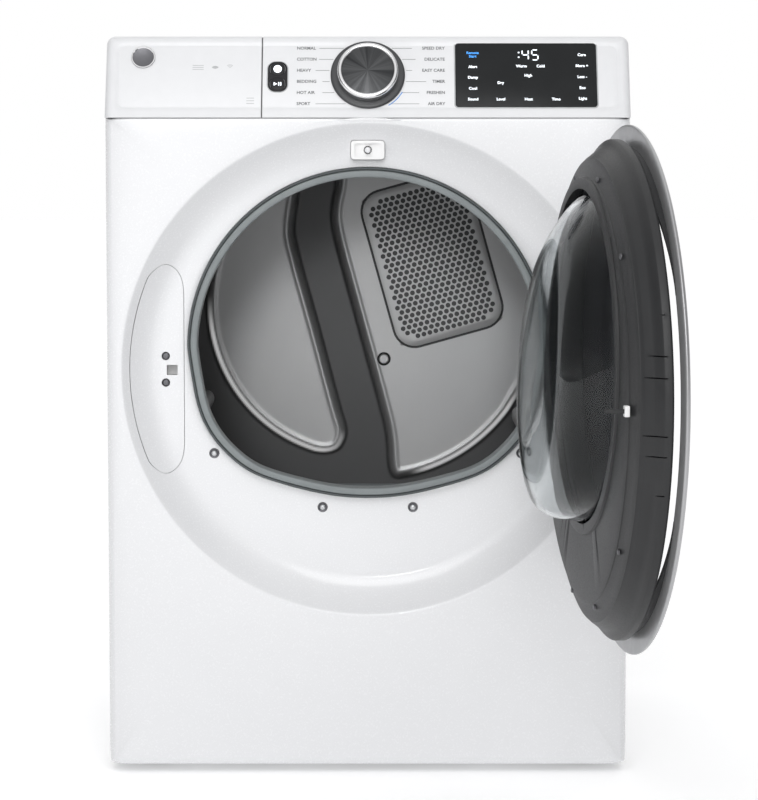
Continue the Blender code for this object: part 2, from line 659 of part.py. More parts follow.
def blower(cabinet):
    x, z = MOTOR
    place = Matrix.Translation((x, 0, z)) @ ALONG_Y
    wheel = [(0.0066, 0.118), (0.018, 0.118), (0.022, 0.146), (0.078, 0.150), (0.078, 0.153), (0.0066, 0.153)]
    impeller = add("blower_wheel", turned(wheel, 32, place), dark_plastic(), cabinet, (x, 0, z))
    for step in range(BLADES):
        angle = 2 * math.pi * step / BLADES
        blade = box((0.045, 0.112, -0.001), (0.077, 0.151, 0.001))
        turn = Matrix.Translation((x, 0, z)) @ Matrix.Rotation(angle, 4, "Y")
        bmesh.ops.transform(blade, matrix=turn, verts=blade.verts)
        weld(impeller, blade)
    shell = [(0, 0.100), (0.092, 0.100), (0.092, 0.172), (0, 0.172)]
    housing = add("blower_housing", turned(shell, 32, place), dark_plastic(), cabinet)
    weld(housing, box((x, 0.1005, 0.046), (0.070, 0.1715, 0.165)))
    cut(housing, turned([(0, 0.103), (0.086, 0.103), (0.086, 0.169), (0, 0.169)], 32, place))
    cut(housing, box((x, 0.1035, 0.050), (0.066, 0.1685, 0.160)))
    cut(housing, rod(0.040, (x, 0.080, z), (x, 0.110, z), 24))
    cut(housing, rod(0.0080, (x, 0.150, z), (x, 0.190, z), 16))
    cut(housing, rod(DUCT_RADIUS - 0.002, (0.008, 0.150, DUCT_Z), (0.008, 0.190, DUCT_Z), 24))
    duct = tube(DUCT_RADIUS, DUCT_RADIUS - 0.0015, (0, 0.1725, DUCT_Z), (0, DEPTH + 0.035, DUCT_Z), 32)
    add("exhaust_duct", duct, steel(), cabinet)


def idler(cabinet):
    x, z = IDLER_PIVOT
    centre = idler_centre()
    hub = rod(0.011, (x, 0.4985, z), (x, 0.5015, z), 24)
    arm = add("idler_arm", hub, steel(), cabinet, (x, BELT_Y, z))
    weld(arm, bar_between((x, z), centre, 0.4991, 0.5009, 0.014))
    weld(arm, rod(0.004, (centre[0], 0.4805, centre[1]), (centre[0], 0.5002, centre[1]), 12))
    wheel = tube(IDLER_RADIUS, 0.0045, (centre[0], 0.4820, centre[1]), (centre[0], 0.4975, centre[1]), 24)
    add("idler_pulley", wheel, dark_plastic(), cabinet, (centre[0], BELT_Y, centre[1]))
    pin = rod(0.0045, (x, 0.4960, z), (x, 0.5200, z), 12)
    cut(arm, pin)
    plate = box((x - 0.020, 0.5040, 0.0165), (x + 0.020, 0.5070, z + 0.020))
    stand = add("idler_bracket", plate, steel(), cabinet)
    weld(stand, rod(0.0040, (x, 0.4970, z), (x, 0.5050, z), 12))


def bar_between(start, end, front, back, width):
    """A flat bar in the (x, z) plane between two points."""
    start, end = Vector(start), Vector(end)
    along = (end - start).normalized()
    side = Vector((-along.y, along.x)) * width / 2
    outline = [start - side, end - side, end + side, start + side]
    return upright([tuple(point) for point in outline], front, back)


def idler_centre():
    """The idler wheel's centre, just clear of the belt's left run."""
    big, small = Vector((0, DRUM_Z)), Vector(MOTOR)
    way = small - big
    spread = math.acos((DRUM_RADIUS + BELT_CLEAR - PULLEY_RADIUS - GAP) / way.length)
    angle = math.atan2(way.y, way.x) - spread
    normal = Vector((math.cos(angle), math.sin(angle)))
    lift = Vector((normal.y, -normal.x))
    if lift.y < 0:
        lift = -lift
    reach = PULLEY_RADIUS + GAP + BELT_THICK + IDLER_RADIUS + GAP
    return tuple(small + normal * reach + lift * 0.075)


def terminal_cover(cabinet):
    low, high = (0.215, DEPTH - 0.0005, 0.800), (0.315, DEPTH + 0.014, 0.900)
    add("terminal_cover", box(low, high, 0.002), steel(), cabinet)


# Door, drawn closed


def door_disc(profile, steps=44, z=RECESS_Z):
    """Turned about the door's centre line from (radius, depth behind the rim plane) points."""
    return turned(profile, steps, Matrix.Translation((0, RIM_Y, z)) @ ALONG_Y)


def door_ring(door):
    """The outer ring, with a skirt that stands off the door body except along the finger gap."""
    r = DOOR_RADIUS
    face = [(0.2985, 0.0), (0.2975, -0.006), (0.302, -0.0105), (0.312, -0.012), (r - 0.005, -0.009)]
    back = [(r, -0.003), (r, 0.0005), (r - 0.003, 0.0012), (0.3035, 0.0012), (0.3035, 0.0126)]
    ring = add("door_ring", door_disc(face + back + [(0.2990, 0.0126), (0.2990, 0.0006)]),
               material("door_ring_grey", (0.16, 0.165, 0.17), 0.35, 0.4), door, DOOR_PIVOT)
    wedge = [(0.0, RECESS_Z)] + arc((0, RECESS_Z), 0.45, 180 - HANDLE_HALF, 180 + HANDLE_HALF, 3)
    cut(ring, upright(wedge, RIM_Y + 0.0009, RIM_Y + 0.05))
    cut(ring, box((0.262, RIM_Y - 0.002, HINGE_MID - 0.052), (0.345, RIM_Y + 0.030, HINGE_MID + 0.052)))


def door_shell(door):
    glass = WINDOW_RADIUS
    window = door_disc([(0, 0.0118), (glass - 0.002, 0.0118), (glass, 0.0134), (glass, 0.0160), (0, 0.0160)])
    tinted = material("tinted_glass", (0.03, 0.03, 0.035), 0.05, 0.0, 0.6)
    add("door_window", window, tinted, door, DOOR_PIVOT)
    back = [(0.260, 0.056), (0.280, 0.048), (0.290, 0.045), (0.300, 0.032), (0.312, 0.0215), (0.312, 0.0175)]
    front = [(0.3040, 0.0130), (glass + 0.0008, 0.0130), (glass + 0.0008, 0.0165), (0.298, 0.0170)]
    front += [(0.298, 0.0280), (0.287, 0.0410), (0.256, 0.0530), (0.0, 0.0530)]
    shell = door_disc([(0.0, 0.056)] + back + front)
    panel = add("door_inner_panel", shell, dark_plastic(), door, DOOR_PIVOT)
    collar = door_disc([(0.0, 0.0545), (0.223, 0.0500), (0.221, COLLAR_BACK), (0.0, COLLAR_BACK)], 40, BOWL_Z)
    weld(panel, collar)
    mouth = BOWL_RADIUS + 0.0015
    cut(panel, door_disc([(0, 0.03), (mouth, 0.03), (mouth, 0.09), (0, 0.09)], 40, BOWL_Z))
    cut(panel, box((0.2713, RIM_Y + 0.010, HINGE_MID - 0.052), (0.345, RIM_Y + 0.070, HINGE_MID + 0.052)))
    r = BOWL_RADIUS
    outer = [(r + 0.009, 0.0445), (r + 0.009, 0.0490), (r, 0.0495), (r - 0.006, 0.066), (r - 0.022, 0.090),
             (r - 0.033, 0.103), (r - 0.052, 0.110), (0, 0.112)]
    inner = [(0, 0.108), (r - 0.053, 0.106), (r - 0.036, 0.099), (r - 0.026, 0.087), (r - 0.010, 0.064),
             (r - 0.004, 0.0445)]
    bowl = door_disc(outer + inner, 40, BOWL_Z)
    add("door_bowl", bowl, material("clear_glass", (0.8, 0.85, 0.86), 0.03, 0.0, 0.25), door, DOOR_PIVOT)


def door_latch_and_hinge(door, cabinet):
    hook = box((-0.2700, RIM_Y + 0.0560, LATCH_Z - 0.004), (-0.2665, RIM_Y + 0.0830, LATCH_Z + 0.004), 0.0006)
    strike = add("door_hook", hook, material("catch_white", WHITE), door, DOOR_PIVOT)
    foot_low, foot_high = (-0.2735, RIM_Y + 0.0556), (-0.2630, RIM_Y + 0.0585)
    weld(strike, box((*foot_low, LATCH_Z - 0.0065), (*foot_high, LATCH_Z + 0.0065)))
    arm = add("hinge_arm", tube(0.0066, 0.0036, (HINGE_X, HINGE_Y, HINGE_MID - 0.030),
                                (HINGE_X, HINGE_Y, HINGE_MID + 0.030), 20), steel(), door, DOOR_PIVOT)
    strap_low, strap_high = (0.255, HINGE_Y + 0.0036), (HINGE_X, HINGE_Y + 0.0062)
    weld(arm, box((*strap_low, HINGE_MID - 0.030), (*strap_high, HINGE_MID + 0.030)))
    plate_low = (HINGE_X - 0.024, 0.0300, HINGE_MID - 0.049)
    plate_high = (HINGE_X + 0.0025, 0.0330, HINGE_MID + 0.049)
    leaf = add("hinge_leaf", box(plate_low, plate_high), steel(), cabinet)
    knuckle = arc((HINGE_X, HINGE_Y), 0.0066, 165, 445, 13)
    knuckle += [(HINGE_X - 0.0010, -0.026), (HINGE_X - 0.0010, 0.0315), (HINGE_X - 0.0064, 0.0315)]
    for sign in (-1, 1):
        z = HINGE_MID + sign * 0.040
        weld(leaf, extruded(knuckle, z - 0.0045, z + 0.0045))
    pin_low, pin_high = HINGE_MID - 0.047, HINGE_MID + 0.047
    weld(leaf, rod(0.0031, (HINGE_X, HINGE_Y, pin_low), (HINGE_X, HINGE_Y, pin_high), 18))


def build():
    clear_scene()
    cabinet = empty("dryer", (-CENTRE[0], -CENTRE[1], 0))
    door = empty("door_hinge_axis", DOOR_PIVOT, cabinet)
    door["pivot"] = DOOR_PIVOT
    door.rotation_euler.z = OPEN_ANGLE
    front_panel(cabinet)
    side_panel(cabinet, "left_side_panel", -1)
    side_panel(cabinet, "right_side_panel", 1)
    top_panel(cabinet)
    rear_panel(cabinet)
    base_pan(cabinet)
    levelling_feet(cabinet)
    front_bulkhead(cabinet)
    door_seal(cabinet)
    latch_side(cabinet)
    door_switch(cabinet)
    panel_screws(cabinet)
    lint_parts(cabinet)
    moisture_sensor(cabinet)
    console_housing(cabinet)
    fascias(cabinet)
    display(cabinet)
    dial(cabinet)
    buttons(cabinet)
    drum(cabinet)
    rear_wall(cabinet)
    drum_rollers(cabinet)
    drum_belt(cabinet)
    motor(cabinet)
    blower(cabinet)
    idler(cabinet)
    terminal_cover(cabinet)
    door_ring(door)
    door_shell(door)
    door_latch_and_hinge(door, cabinet)


build()
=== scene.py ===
"""The looks of a full-size front-loading clothes dryer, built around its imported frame.

Metres, +Z up. Pieces are drawn in the cabinet's own frame: X to the right, Y from the front
panel towards the back, Z from the floor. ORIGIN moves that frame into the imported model's.
The door is drawn closed, then swung open about its hinge.
"""

import json
import math

import bmesh
import bpy
import numpy as np
from mathutils import Matrix, Vector

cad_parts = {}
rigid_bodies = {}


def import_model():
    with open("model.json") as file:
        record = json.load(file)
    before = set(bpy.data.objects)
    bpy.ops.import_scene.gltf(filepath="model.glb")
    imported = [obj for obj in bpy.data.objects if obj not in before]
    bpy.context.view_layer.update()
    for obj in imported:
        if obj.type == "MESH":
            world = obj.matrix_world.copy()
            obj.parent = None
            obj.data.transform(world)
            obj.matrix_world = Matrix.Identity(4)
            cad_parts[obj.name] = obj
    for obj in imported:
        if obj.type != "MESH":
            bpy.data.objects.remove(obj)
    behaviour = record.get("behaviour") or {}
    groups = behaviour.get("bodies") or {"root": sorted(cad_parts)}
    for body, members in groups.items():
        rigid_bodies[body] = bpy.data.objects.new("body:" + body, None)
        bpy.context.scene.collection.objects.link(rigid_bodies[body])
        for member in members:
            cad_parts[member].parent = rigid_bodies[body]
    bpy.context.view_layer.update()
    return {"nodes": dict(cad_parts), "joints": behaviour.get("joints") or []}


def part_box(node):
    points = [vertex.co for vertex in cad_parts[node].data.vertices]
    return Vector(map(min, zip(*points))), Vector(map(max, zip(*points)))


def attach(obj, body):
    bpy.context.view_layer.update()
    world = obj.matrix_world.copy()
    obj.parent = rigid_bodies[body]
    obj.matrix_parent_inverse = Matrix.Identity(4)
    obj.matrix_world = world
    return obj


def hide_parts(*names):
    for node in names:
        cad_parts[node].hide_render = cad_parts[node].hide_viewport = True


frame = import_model()

# Sizes read from the frame
panel_low, panel_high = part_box("front_panel")
_, top_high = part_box("top_panel")
ORIGIN = Vector(((panel_low.x + panel_high.x) / 2, panel_low.y, 0.0))
WIDTH = panel_high.x - panel_low.x
HALF = WIDTH / 2
HEIGHT = top_high.z
DEPTH = top_high.y - ORIGIN.y
PANEL_FOOT = panel_low.z
PANEL_TOP = panel_high.z
joints = {joint["name"]: joint for joint in frame["joints"]}
HINGE = Vector(joints["door_hinge"]["pos_m"]) - ORIGIN
OPEN_ANGLE = -math.radians(joints["door_hinge"]["range_deg"][0])

# Sizes shared with the frame's own design
GAP = 0.0005
EDGE_RADIUS = 0.024
RECESS_Z = 0.5575
RECESS_RADIUS = 0.3345
FLAT_RADIUS = 0.282
RECESS_DEPTH = 0.035
OPENING_Z = 0.586
OPENING_RADIUS = 0.2467
LOWER_MOUTH = [(0.2419, 0.5506), (0.2321, 0.4978), (0.2108, 0.4576), (0.1719, 0.4202), (0.1328, 0.4030),
               (0.0546, 0.3829), (0.0, 0.3792)]
DRUM_Z = 0.600
DRUM_RADIUS = 0.325
WALL_RADIUS = 0.3225
DRUM_FRONT = 0.085
DRUM_BACK = 0.612
REAR_WALL_Y = 0.622
CONSOLE_DEPTH = 0.130
STEP_Y = 0.066
STEP_Z = 0.945
TILT = math.radians(25.0)
KNOB_S = 0.0636
KNOB_RADIUS = 0.0414
KNOB_HEIGHT = 0.0175
SEAM_X = -0.1432
FACE_LOW = 0.0106
FACE_TALL = 0.1024
PILL = (-0.12205, 0.0612)
DISPLAY = (0.2143, 0.0637)
RIM_Y = -0.040
DOOR_RADIUS = 0.330
WINDOW_RADIUS = 0.2665
BOWL_Z = 0.600
BOWL_RADIUS = 0.207
LATCH_Z = 0.5555
HANDLE_HALF = 49.0
SWITCH_Z = 0.8555
SCREW_PLACES = [(-0.2105, 0.441), (-0.0620, 0.3665), (0.0620, 0.3665), (0.2105, 0.441)]
FOOT_PLACES = [(x, y) for x in (-0.300, 0.300) for y in (0.095, 0.640)]
GRILLE = (0.1008, 0.6837)
GRILLE_SIZE = (0.1790, 0.2560)
GRILLE_TILT = math.radians(15.6)
BOSS = (0.0254, 0.5279)
DUCT_RADIUS = 0.051
DUCT_Z = 0.105

SHIFT = Matrix.Translation(ORIGIN)
SWING = Matrix.Translation(HINGE) @ Matrix.Rotation(OPEN_ANGLE, 4, "Z") @ Matrix.Translation(-HINGE)
QUARTER = math.radians(90.0)
ALONG_Y = Matrix.Rotation(-QUARTER, 4, "X")
ALONG_X = Matrix.Rotation(QUARTER, 4, "Y")


# Outlines


def facing(x, y, z):
    """A place whose local Z runs towards the back."""
    return Matrix.Translation((x, y, z)) @ ALONG_Y


def arc(centre, radius, start, end, count):
    """Points on a circle from angle start to end, in degrees."""
    points = []
    for i in range(count):
        angle = math.radians(start + (end - start) * i / (count - 1))
        points.append((centre[0] + radius * math.cos(angle), centre[1] + radius * math.sin(angle)))
    return points


def polar(centre, radius, angle):
    """The point of a circle at an angle in degrees."""
    return arc(centre, radius, angle, angle + 1, 2)[0]


def circle(centre, radius, count):
    """Points evenly round a circle."""
    return arc(centre, radius, 0, 360 - 360 / count, count)


def raised(outline, height):
    """An (x, z) outline moved up."""
    return [(x, z + height) for x, z in outline]


def rounded(width, height, radius, count=9):
    """A rounded rectangle about the origin."""
    x, y = width / 2 - radius, height / 2 - radius
    points = []
    for cx, cy, start in ((x, y, 0), (-x, y, 90), (-x, -y, 180), (x, -y, 270)):
        points += arc((cx, cy), radius, start, start + 90, count)
    return points


def softened(points, rounds=2, closed=True, share=0.25):
    """Corners cut away, round after round, so that the outline turns smoothly."""
    for _ in range(rounds):
        made = []
        count = len(points)
        for i in range(count if closed else count - 1):
            a, b = Vector(points[i]), Vector(points[(i + 1) % count])
            made += [tuple(a.lerp(b, share)), tuple(a.lerp(b, 1 - share))]
        if not closed:
            made = [points[0]] + made[1:-1] + [points[-1]]
        points = made
    return points


def opening_outline(inset=0.0, count=110):
    """The opening as (x, z): round above, fuller and flatter below, drawn inwards by inset."""
    points = arc((0, OPENING_Z), OPENING_RADIUS, 0, 180, count)
    points += [(-x, z) for x, z in LOWER_MOUTH] + LOWER_MOUTH[-2::-1]
    centre = Vector((0, OPENING_Z))
    pulled = []
    for point in softened(points, 3):
        away = Vector(point) - centre
        pulled.append(tuple(centre + away * (1 - inset / away.length)))
    return pulled


def latch_outline(grow):
    """The D-shaped cover beside the opening, as (x, z)."""
    right = -0.2516 + grow
    points = arc((0, RECESS_Z), RECESS_RADIUS - 0.011 + grow, 156.5, 203.5, 25)
    points += [(-0.2785 + grow, RECESS_Z - 0.145 - grow), (right - 0.010, RECESS_Z - 0.138)]
    for i in range(7):
        points.append((right, RECESS_Z - 0.118 + 0.236 * i / 6))
    points += [(right - 0.010, RECESS_Z + 0.138), (-0.2785 + grow, RECESS_Z + 0.145 + grow)]
    return softened(points, 3)


def resampled(points, count):
    """Evenly spaced points round a closed outline."""
    ring = np.array(list(points) + [points[0]])
    walked = np.concatenate([[0], np.cumsum(np.linalg.norm(np.diff(ring, axis=0), axis=1))])
    at = np.linspace(0, walked[-1], count, endpoint=False)
    return list(zip(np.interp(at, walked, ring[:, 0]), np.interp(at, walked, ring[:, 1])))


def reach(outline, centre, angle):
    """Where a ray from centre meets a closed outline."""
    ahead = Vector((math.cos(angle), math.sin(angle)))
    for i in range(len(outline)):
        a = Vector(outline[i]) - Vector(centre)
        b = Vector(outline[(i + 1) % len(outline)]) - Vector(centre)
        side_a = ahead.cross(a)
        side_b = ahead.cross(b)
        if (side_a <= 0) != (side_b <= 0):
            hit = a.lerp(b, side_a / (side_a - side_b))
            if hit.dot(ahead) > 0:
                return Vector(centre) + hit
    raise ValueError("the ray misses the outline")


# Solids, each a bmesh in cabinet coordinates


def loft(loops, around=True, along=False):
    """Faces between neighbouring loops. around closes each loop, along joins the last loop to the first."""
    bm = bmesh.new()
    rows = [[bm.verts.new(point) for point in loop] for loop in loops]
    following = rows[1:] + rows[:1] if along else rows[1:]
    for row, beyond in zip(rows, following):
        for i in range(len(row) if around else len(row) - 1):
            j = (i + 1) % len(row)
            bm.faces.new((row[i], row[j], beyond[j], beyond[i]))
    return bm


def outward(bm, fill=False):
    """Turns every face outwards, once the holes are filled if asked."""
    if fill:
        bmesh.ops.holes_fill(bm, edges=bm.edges[:])
    bmesh.ops.recalc_face_normals(bm, faces=bm.faces)
    return bm


def turned(profile, steps=128, place=None, closed=True):
    """A shape turned about local Z from (radius, height) points."""
    loops = []
    for radius, height in profile:
        loops.append([(x, y, height) for x, y in circle((0, 0), radius, steps)])
    bm = loft(loops, along=closed)
    bmesh.ops.remove_doubles(bm, verts=bm.verts, dist=1e-6)
    outward(bm)
    if place:
        bm.transform(place)
    return bm


def between(start, end):
    """A place whose local Z runs from start to end, and their distance."""
    start, end = Vector(start), Vector(end)
    turn = (end - start).to_track_quat("Z", "Y").to_matrix().to_4x4()
    return Matrix.Translation(start) @ turn, (end - start).length


def rod(radius, start, end, steps=32, inner=0.0):
    """A round bar between two points, or a tube if inner is set."""
    place, length = between(start, end)
    return turned([(inner, 0), (radius, 0), (radius, length), (inner, length)], steps, place)


def extruded(outline, low, high, place=None, edge=0.0):
    """A prism on a plane outline, from height low to high along local Z, with rounded rims if edge is set."""
    bm = bmesh.new()
    bottom = [bm.verts.new((x, y, low)) for x, y in outline]
    top = [bm.verts.new((x, y, high)) for x, y in outline]
    rims = [bm.faces.new(bottom[::-1]), bm.faces.new(top)]
    for i in range(len(outline)):
        j = (i + 1) % len(outline)
        bm.faces.new((bottom[i], bottom[j], top[j], top[i]))
    outward(bm)
    if edge:
        edges = list({e for face in rims for e in face.edges})
        bmesh.ops.bevel(bm, geom=edges, offset=edge, segments=3, profile=0.5, affect="EDGES",
                        clamp_overlap=False)
    if place:
        bm.transform(place)
    return bm


def upright(outline, front, back, edge=0.0, place=None):
    """A prism on an (x, z) outline between two Y planes."""
    bm = extruded(outline, -back, -front, Matrix.Rotation(QUARTER, 4, "X"), edge)
    if place:
        bm.transform(place)
    return bm


def block(low, high, edge=0.0, segments=3):
    """A box between two corners with rounded edges."""
    bm = bmesh.new()
    bmesh.ops.create_cube(bm, size=1.0)
    low, high = Vector(low), Vector(high)
    bm.transform(Matrix.Translation((low + high) / 2) @ Matrix.Diagonal((*(high - low), 1)))
    if edge:
        bmesh.ops.bevel(bm, geom=bm.edges[:], offset=edge, segments=segments, profile=0.5, affect="EDGES")
    return bm


def placed(name, data):
    """A new object in the scene."""
    obj = bpy.data.objects.new(name, data)
    bpy.context.scene.collection.objects.link(obj)
    return obj


def merged(*shapes):
    """Several shapes in one bmesh, left as separate shells."""
    whole = bmesh.new()
    for bm in shapes:
        mesh = bpy.data.meshes.new("part")
        bm.to_mesh(mesh)
        bm.free()
        whole.from_mesh(mesh)
        bpy.data.meshes.remove(mesh)
    return whole


def evaluated(bm, kind, **settings):
    """The bmesh after one modifier."""
    mesh = bpy.data.meshes.new("before")
    bm.to_mesh(mesh)
    bm.free()
    obj = placed("before", mesh)
    modifier = obj.modifiers.new("step", kind)
    for name, value in settings.items():
        setattr(modifier, name, value)
    after = bpy.data.meshes.new_from_object(obj.evaluated_get(bpy.context.evaluated_depsgraph_get()))
    result = bmesh.new()
    result.from_mesh(after)
    bpy.data.objects.remove(obj)
    bpy.data.meshes.remove(mesh)
    bpy.data.meshes.remove(after)
    return result


def combined(bm, other, operation="DIFFERENCE"):
    """One bmesh cut by, joined with or kept inside another, which is used up."""
    mesh = bpy.data.meshes.new("helper")
    other.to_mesh(mesh)
    other.free()
    helper = placed("helper", mesh)
    result = evaluated(bm, "BOOLEAN", object=helper, operation=operation)
    bpy.data.objects.remove(helper)
    bpy.data.meshes.remove(mesh)
    return result


def on_face(x, s, out=0.0):
    """A place on the tilted console face, s up the slope and out along its normal."""
    y = s * math.sin(TILT) - out * math.cos(TILT)
    z = PANEL_TOP + GAP + s * math.cos(TILT) + out * math.sin(TILT)
    return Vector((x, y, z))


def face_place(x, s, out=0.0):
    """Local X right, local Y up the slope, local Z out of the console face."""
    return Matrix.Translation(on_face(x, s, out)) @ Matrix.Rotation(QUARTER - TILT, 4, "X")


# Materials


def shader_node(tree, kind, **values):
    """A new shader node with inputs set by name, an underscore for each space."""
    made = tree.nodes.new("ShaderNode" + kind)
    for socket, value in values.items():
        made.inputs[socket.replace("_", " ")].default_value = value
    return made


def noise(tree, vector, scale, detail):
    """The value of a noise over a vector."""
    made = shader_node(tree, "TexNoise", Scale=scale, Detail=detail)
    tree.links.new(vector, made.inputs["Vector"])
    return made.outputs["Fac"]


def spread(tree, value, low, high):
    """A noise value stretched between two numbers."""
    made = shader_node(tree, "MapRange", From_Min=0.3, From_Max=0.7, To_Min=low, To_Max=high)
    tree.links.new(value, made.inputs["Value"])
    return made.outputs["Result"]


def mixed(tree, factor, first, second):
    """Two colours mixed by a value. Each is a colour or another node's output."""
    made = shader_node(tree, "Mix")
    made.data_type = "RGBA"
    for socket, colour in ((made.inputs[6], first), (made.inputs[7], second)):
        if isinstance(colour, tuple):
            socket.default_value = (*colour, 1.0)
        else:
            tree.links.new(colour, socket)
    tree.links.new(factor, made.inputs[0])
    return made.outputs[2]


def surface(name, colour, rough, metal=0.0, vary=0.05, grain=80.0, stretch=(1, 1, 1), relief=0.1,
            depth=0.0003,
            rough_spread=0.06, **fixed):
    """A material whose colour, roughness and relief follow a broad and a fine noise."""
    made = bpy.data.materials.new(name)
    made.use_nodes = True
    tree = made.node_tree
    shader = tree.nodes["Principled BSDF"]
    shader.inputs["Metallic"].default_value = metal
    for socket, value in fixed.items():
        shader.inputs[socket.replace("_", " ")].default_value = value
    where = shader_node(tree, "TexCoord")
    mapping = shader_node(tree, "Mapping", Scale=stretch)
    tree.links.new(where.outputs["Object"], mapping.inputs["Vector"])
    fine = noise(tree, mapping.outputs["Vector"], grain, 5.0)
    broad = noise(tree, mapping.outputs["Vector"], grain / 15, 2.0)
    darker = tuple(c * (1 - vary) for c in colour)
    lighter = tuple(min(c * (1 + vary), 1.0) for c in colour)
    tree.links.new(mixed(tree, spread(tree, broad, 0.0, 1.0), darker, lighter), shader.inputs["Base Color"])
    tree.links.new(spread(tree, fine, rough - rough_spread, rough + rough_spread), shader.inputs["Roughness"])
    add_relief(tree, fine, relief, depth)
    return made


def add_relief(tree, height, strength, distance):
    """Bump on the material's shader, from a value that stands for height."""
    bump = shader_node(tree, "Bump", Strength=strength, Distance=distance)
    tree.links.new(height, bump.inputs["Height"])
    tree.links.new(bump.outputs["Normal"], tree.nodes["Principled BSDF"].inputs["Normal"])


def shaded(made, attribute, colour):
    """Mixes colour in where the mesh's own attribute is high."""
    tree = made.node_tree
    socket = tree.nodes["Principled BSDF"].inputs["Base Color"]
    before = socket.links[0].from_socket
    painted = shader_node(tree, "Attribute")
    painted.attribute_name = attribute
    tree.links.new(mixed(tree, painted.outputs["Fac"], before, colour), socket)
    return made


def glow_where(made, attribute, strength):
    """Adds a white glow where the mesh's own attribute is high: a painted highlight, not a lamp."""
    tree = made.node_tree
    painted = shader_node(tree, "Attribute")
    painted.attribute_name = attribute
    scaled = shader_node(tree, "Math")
    scaled.operation = "MULTIPLY"
    scaled.inputs[1].default_value = strength
    tree.links.new(painted.outputs["Fac"], scaled.inputs[0])
    shader = tree.nodes["Principled BSDF"]
    shader.inputs["Emission Color"].default_value = (1.0, 1.0, 1.0, 1.0)
    tree.links.new(scaled.outputs[0], shader.inputs["Emission Strength"])


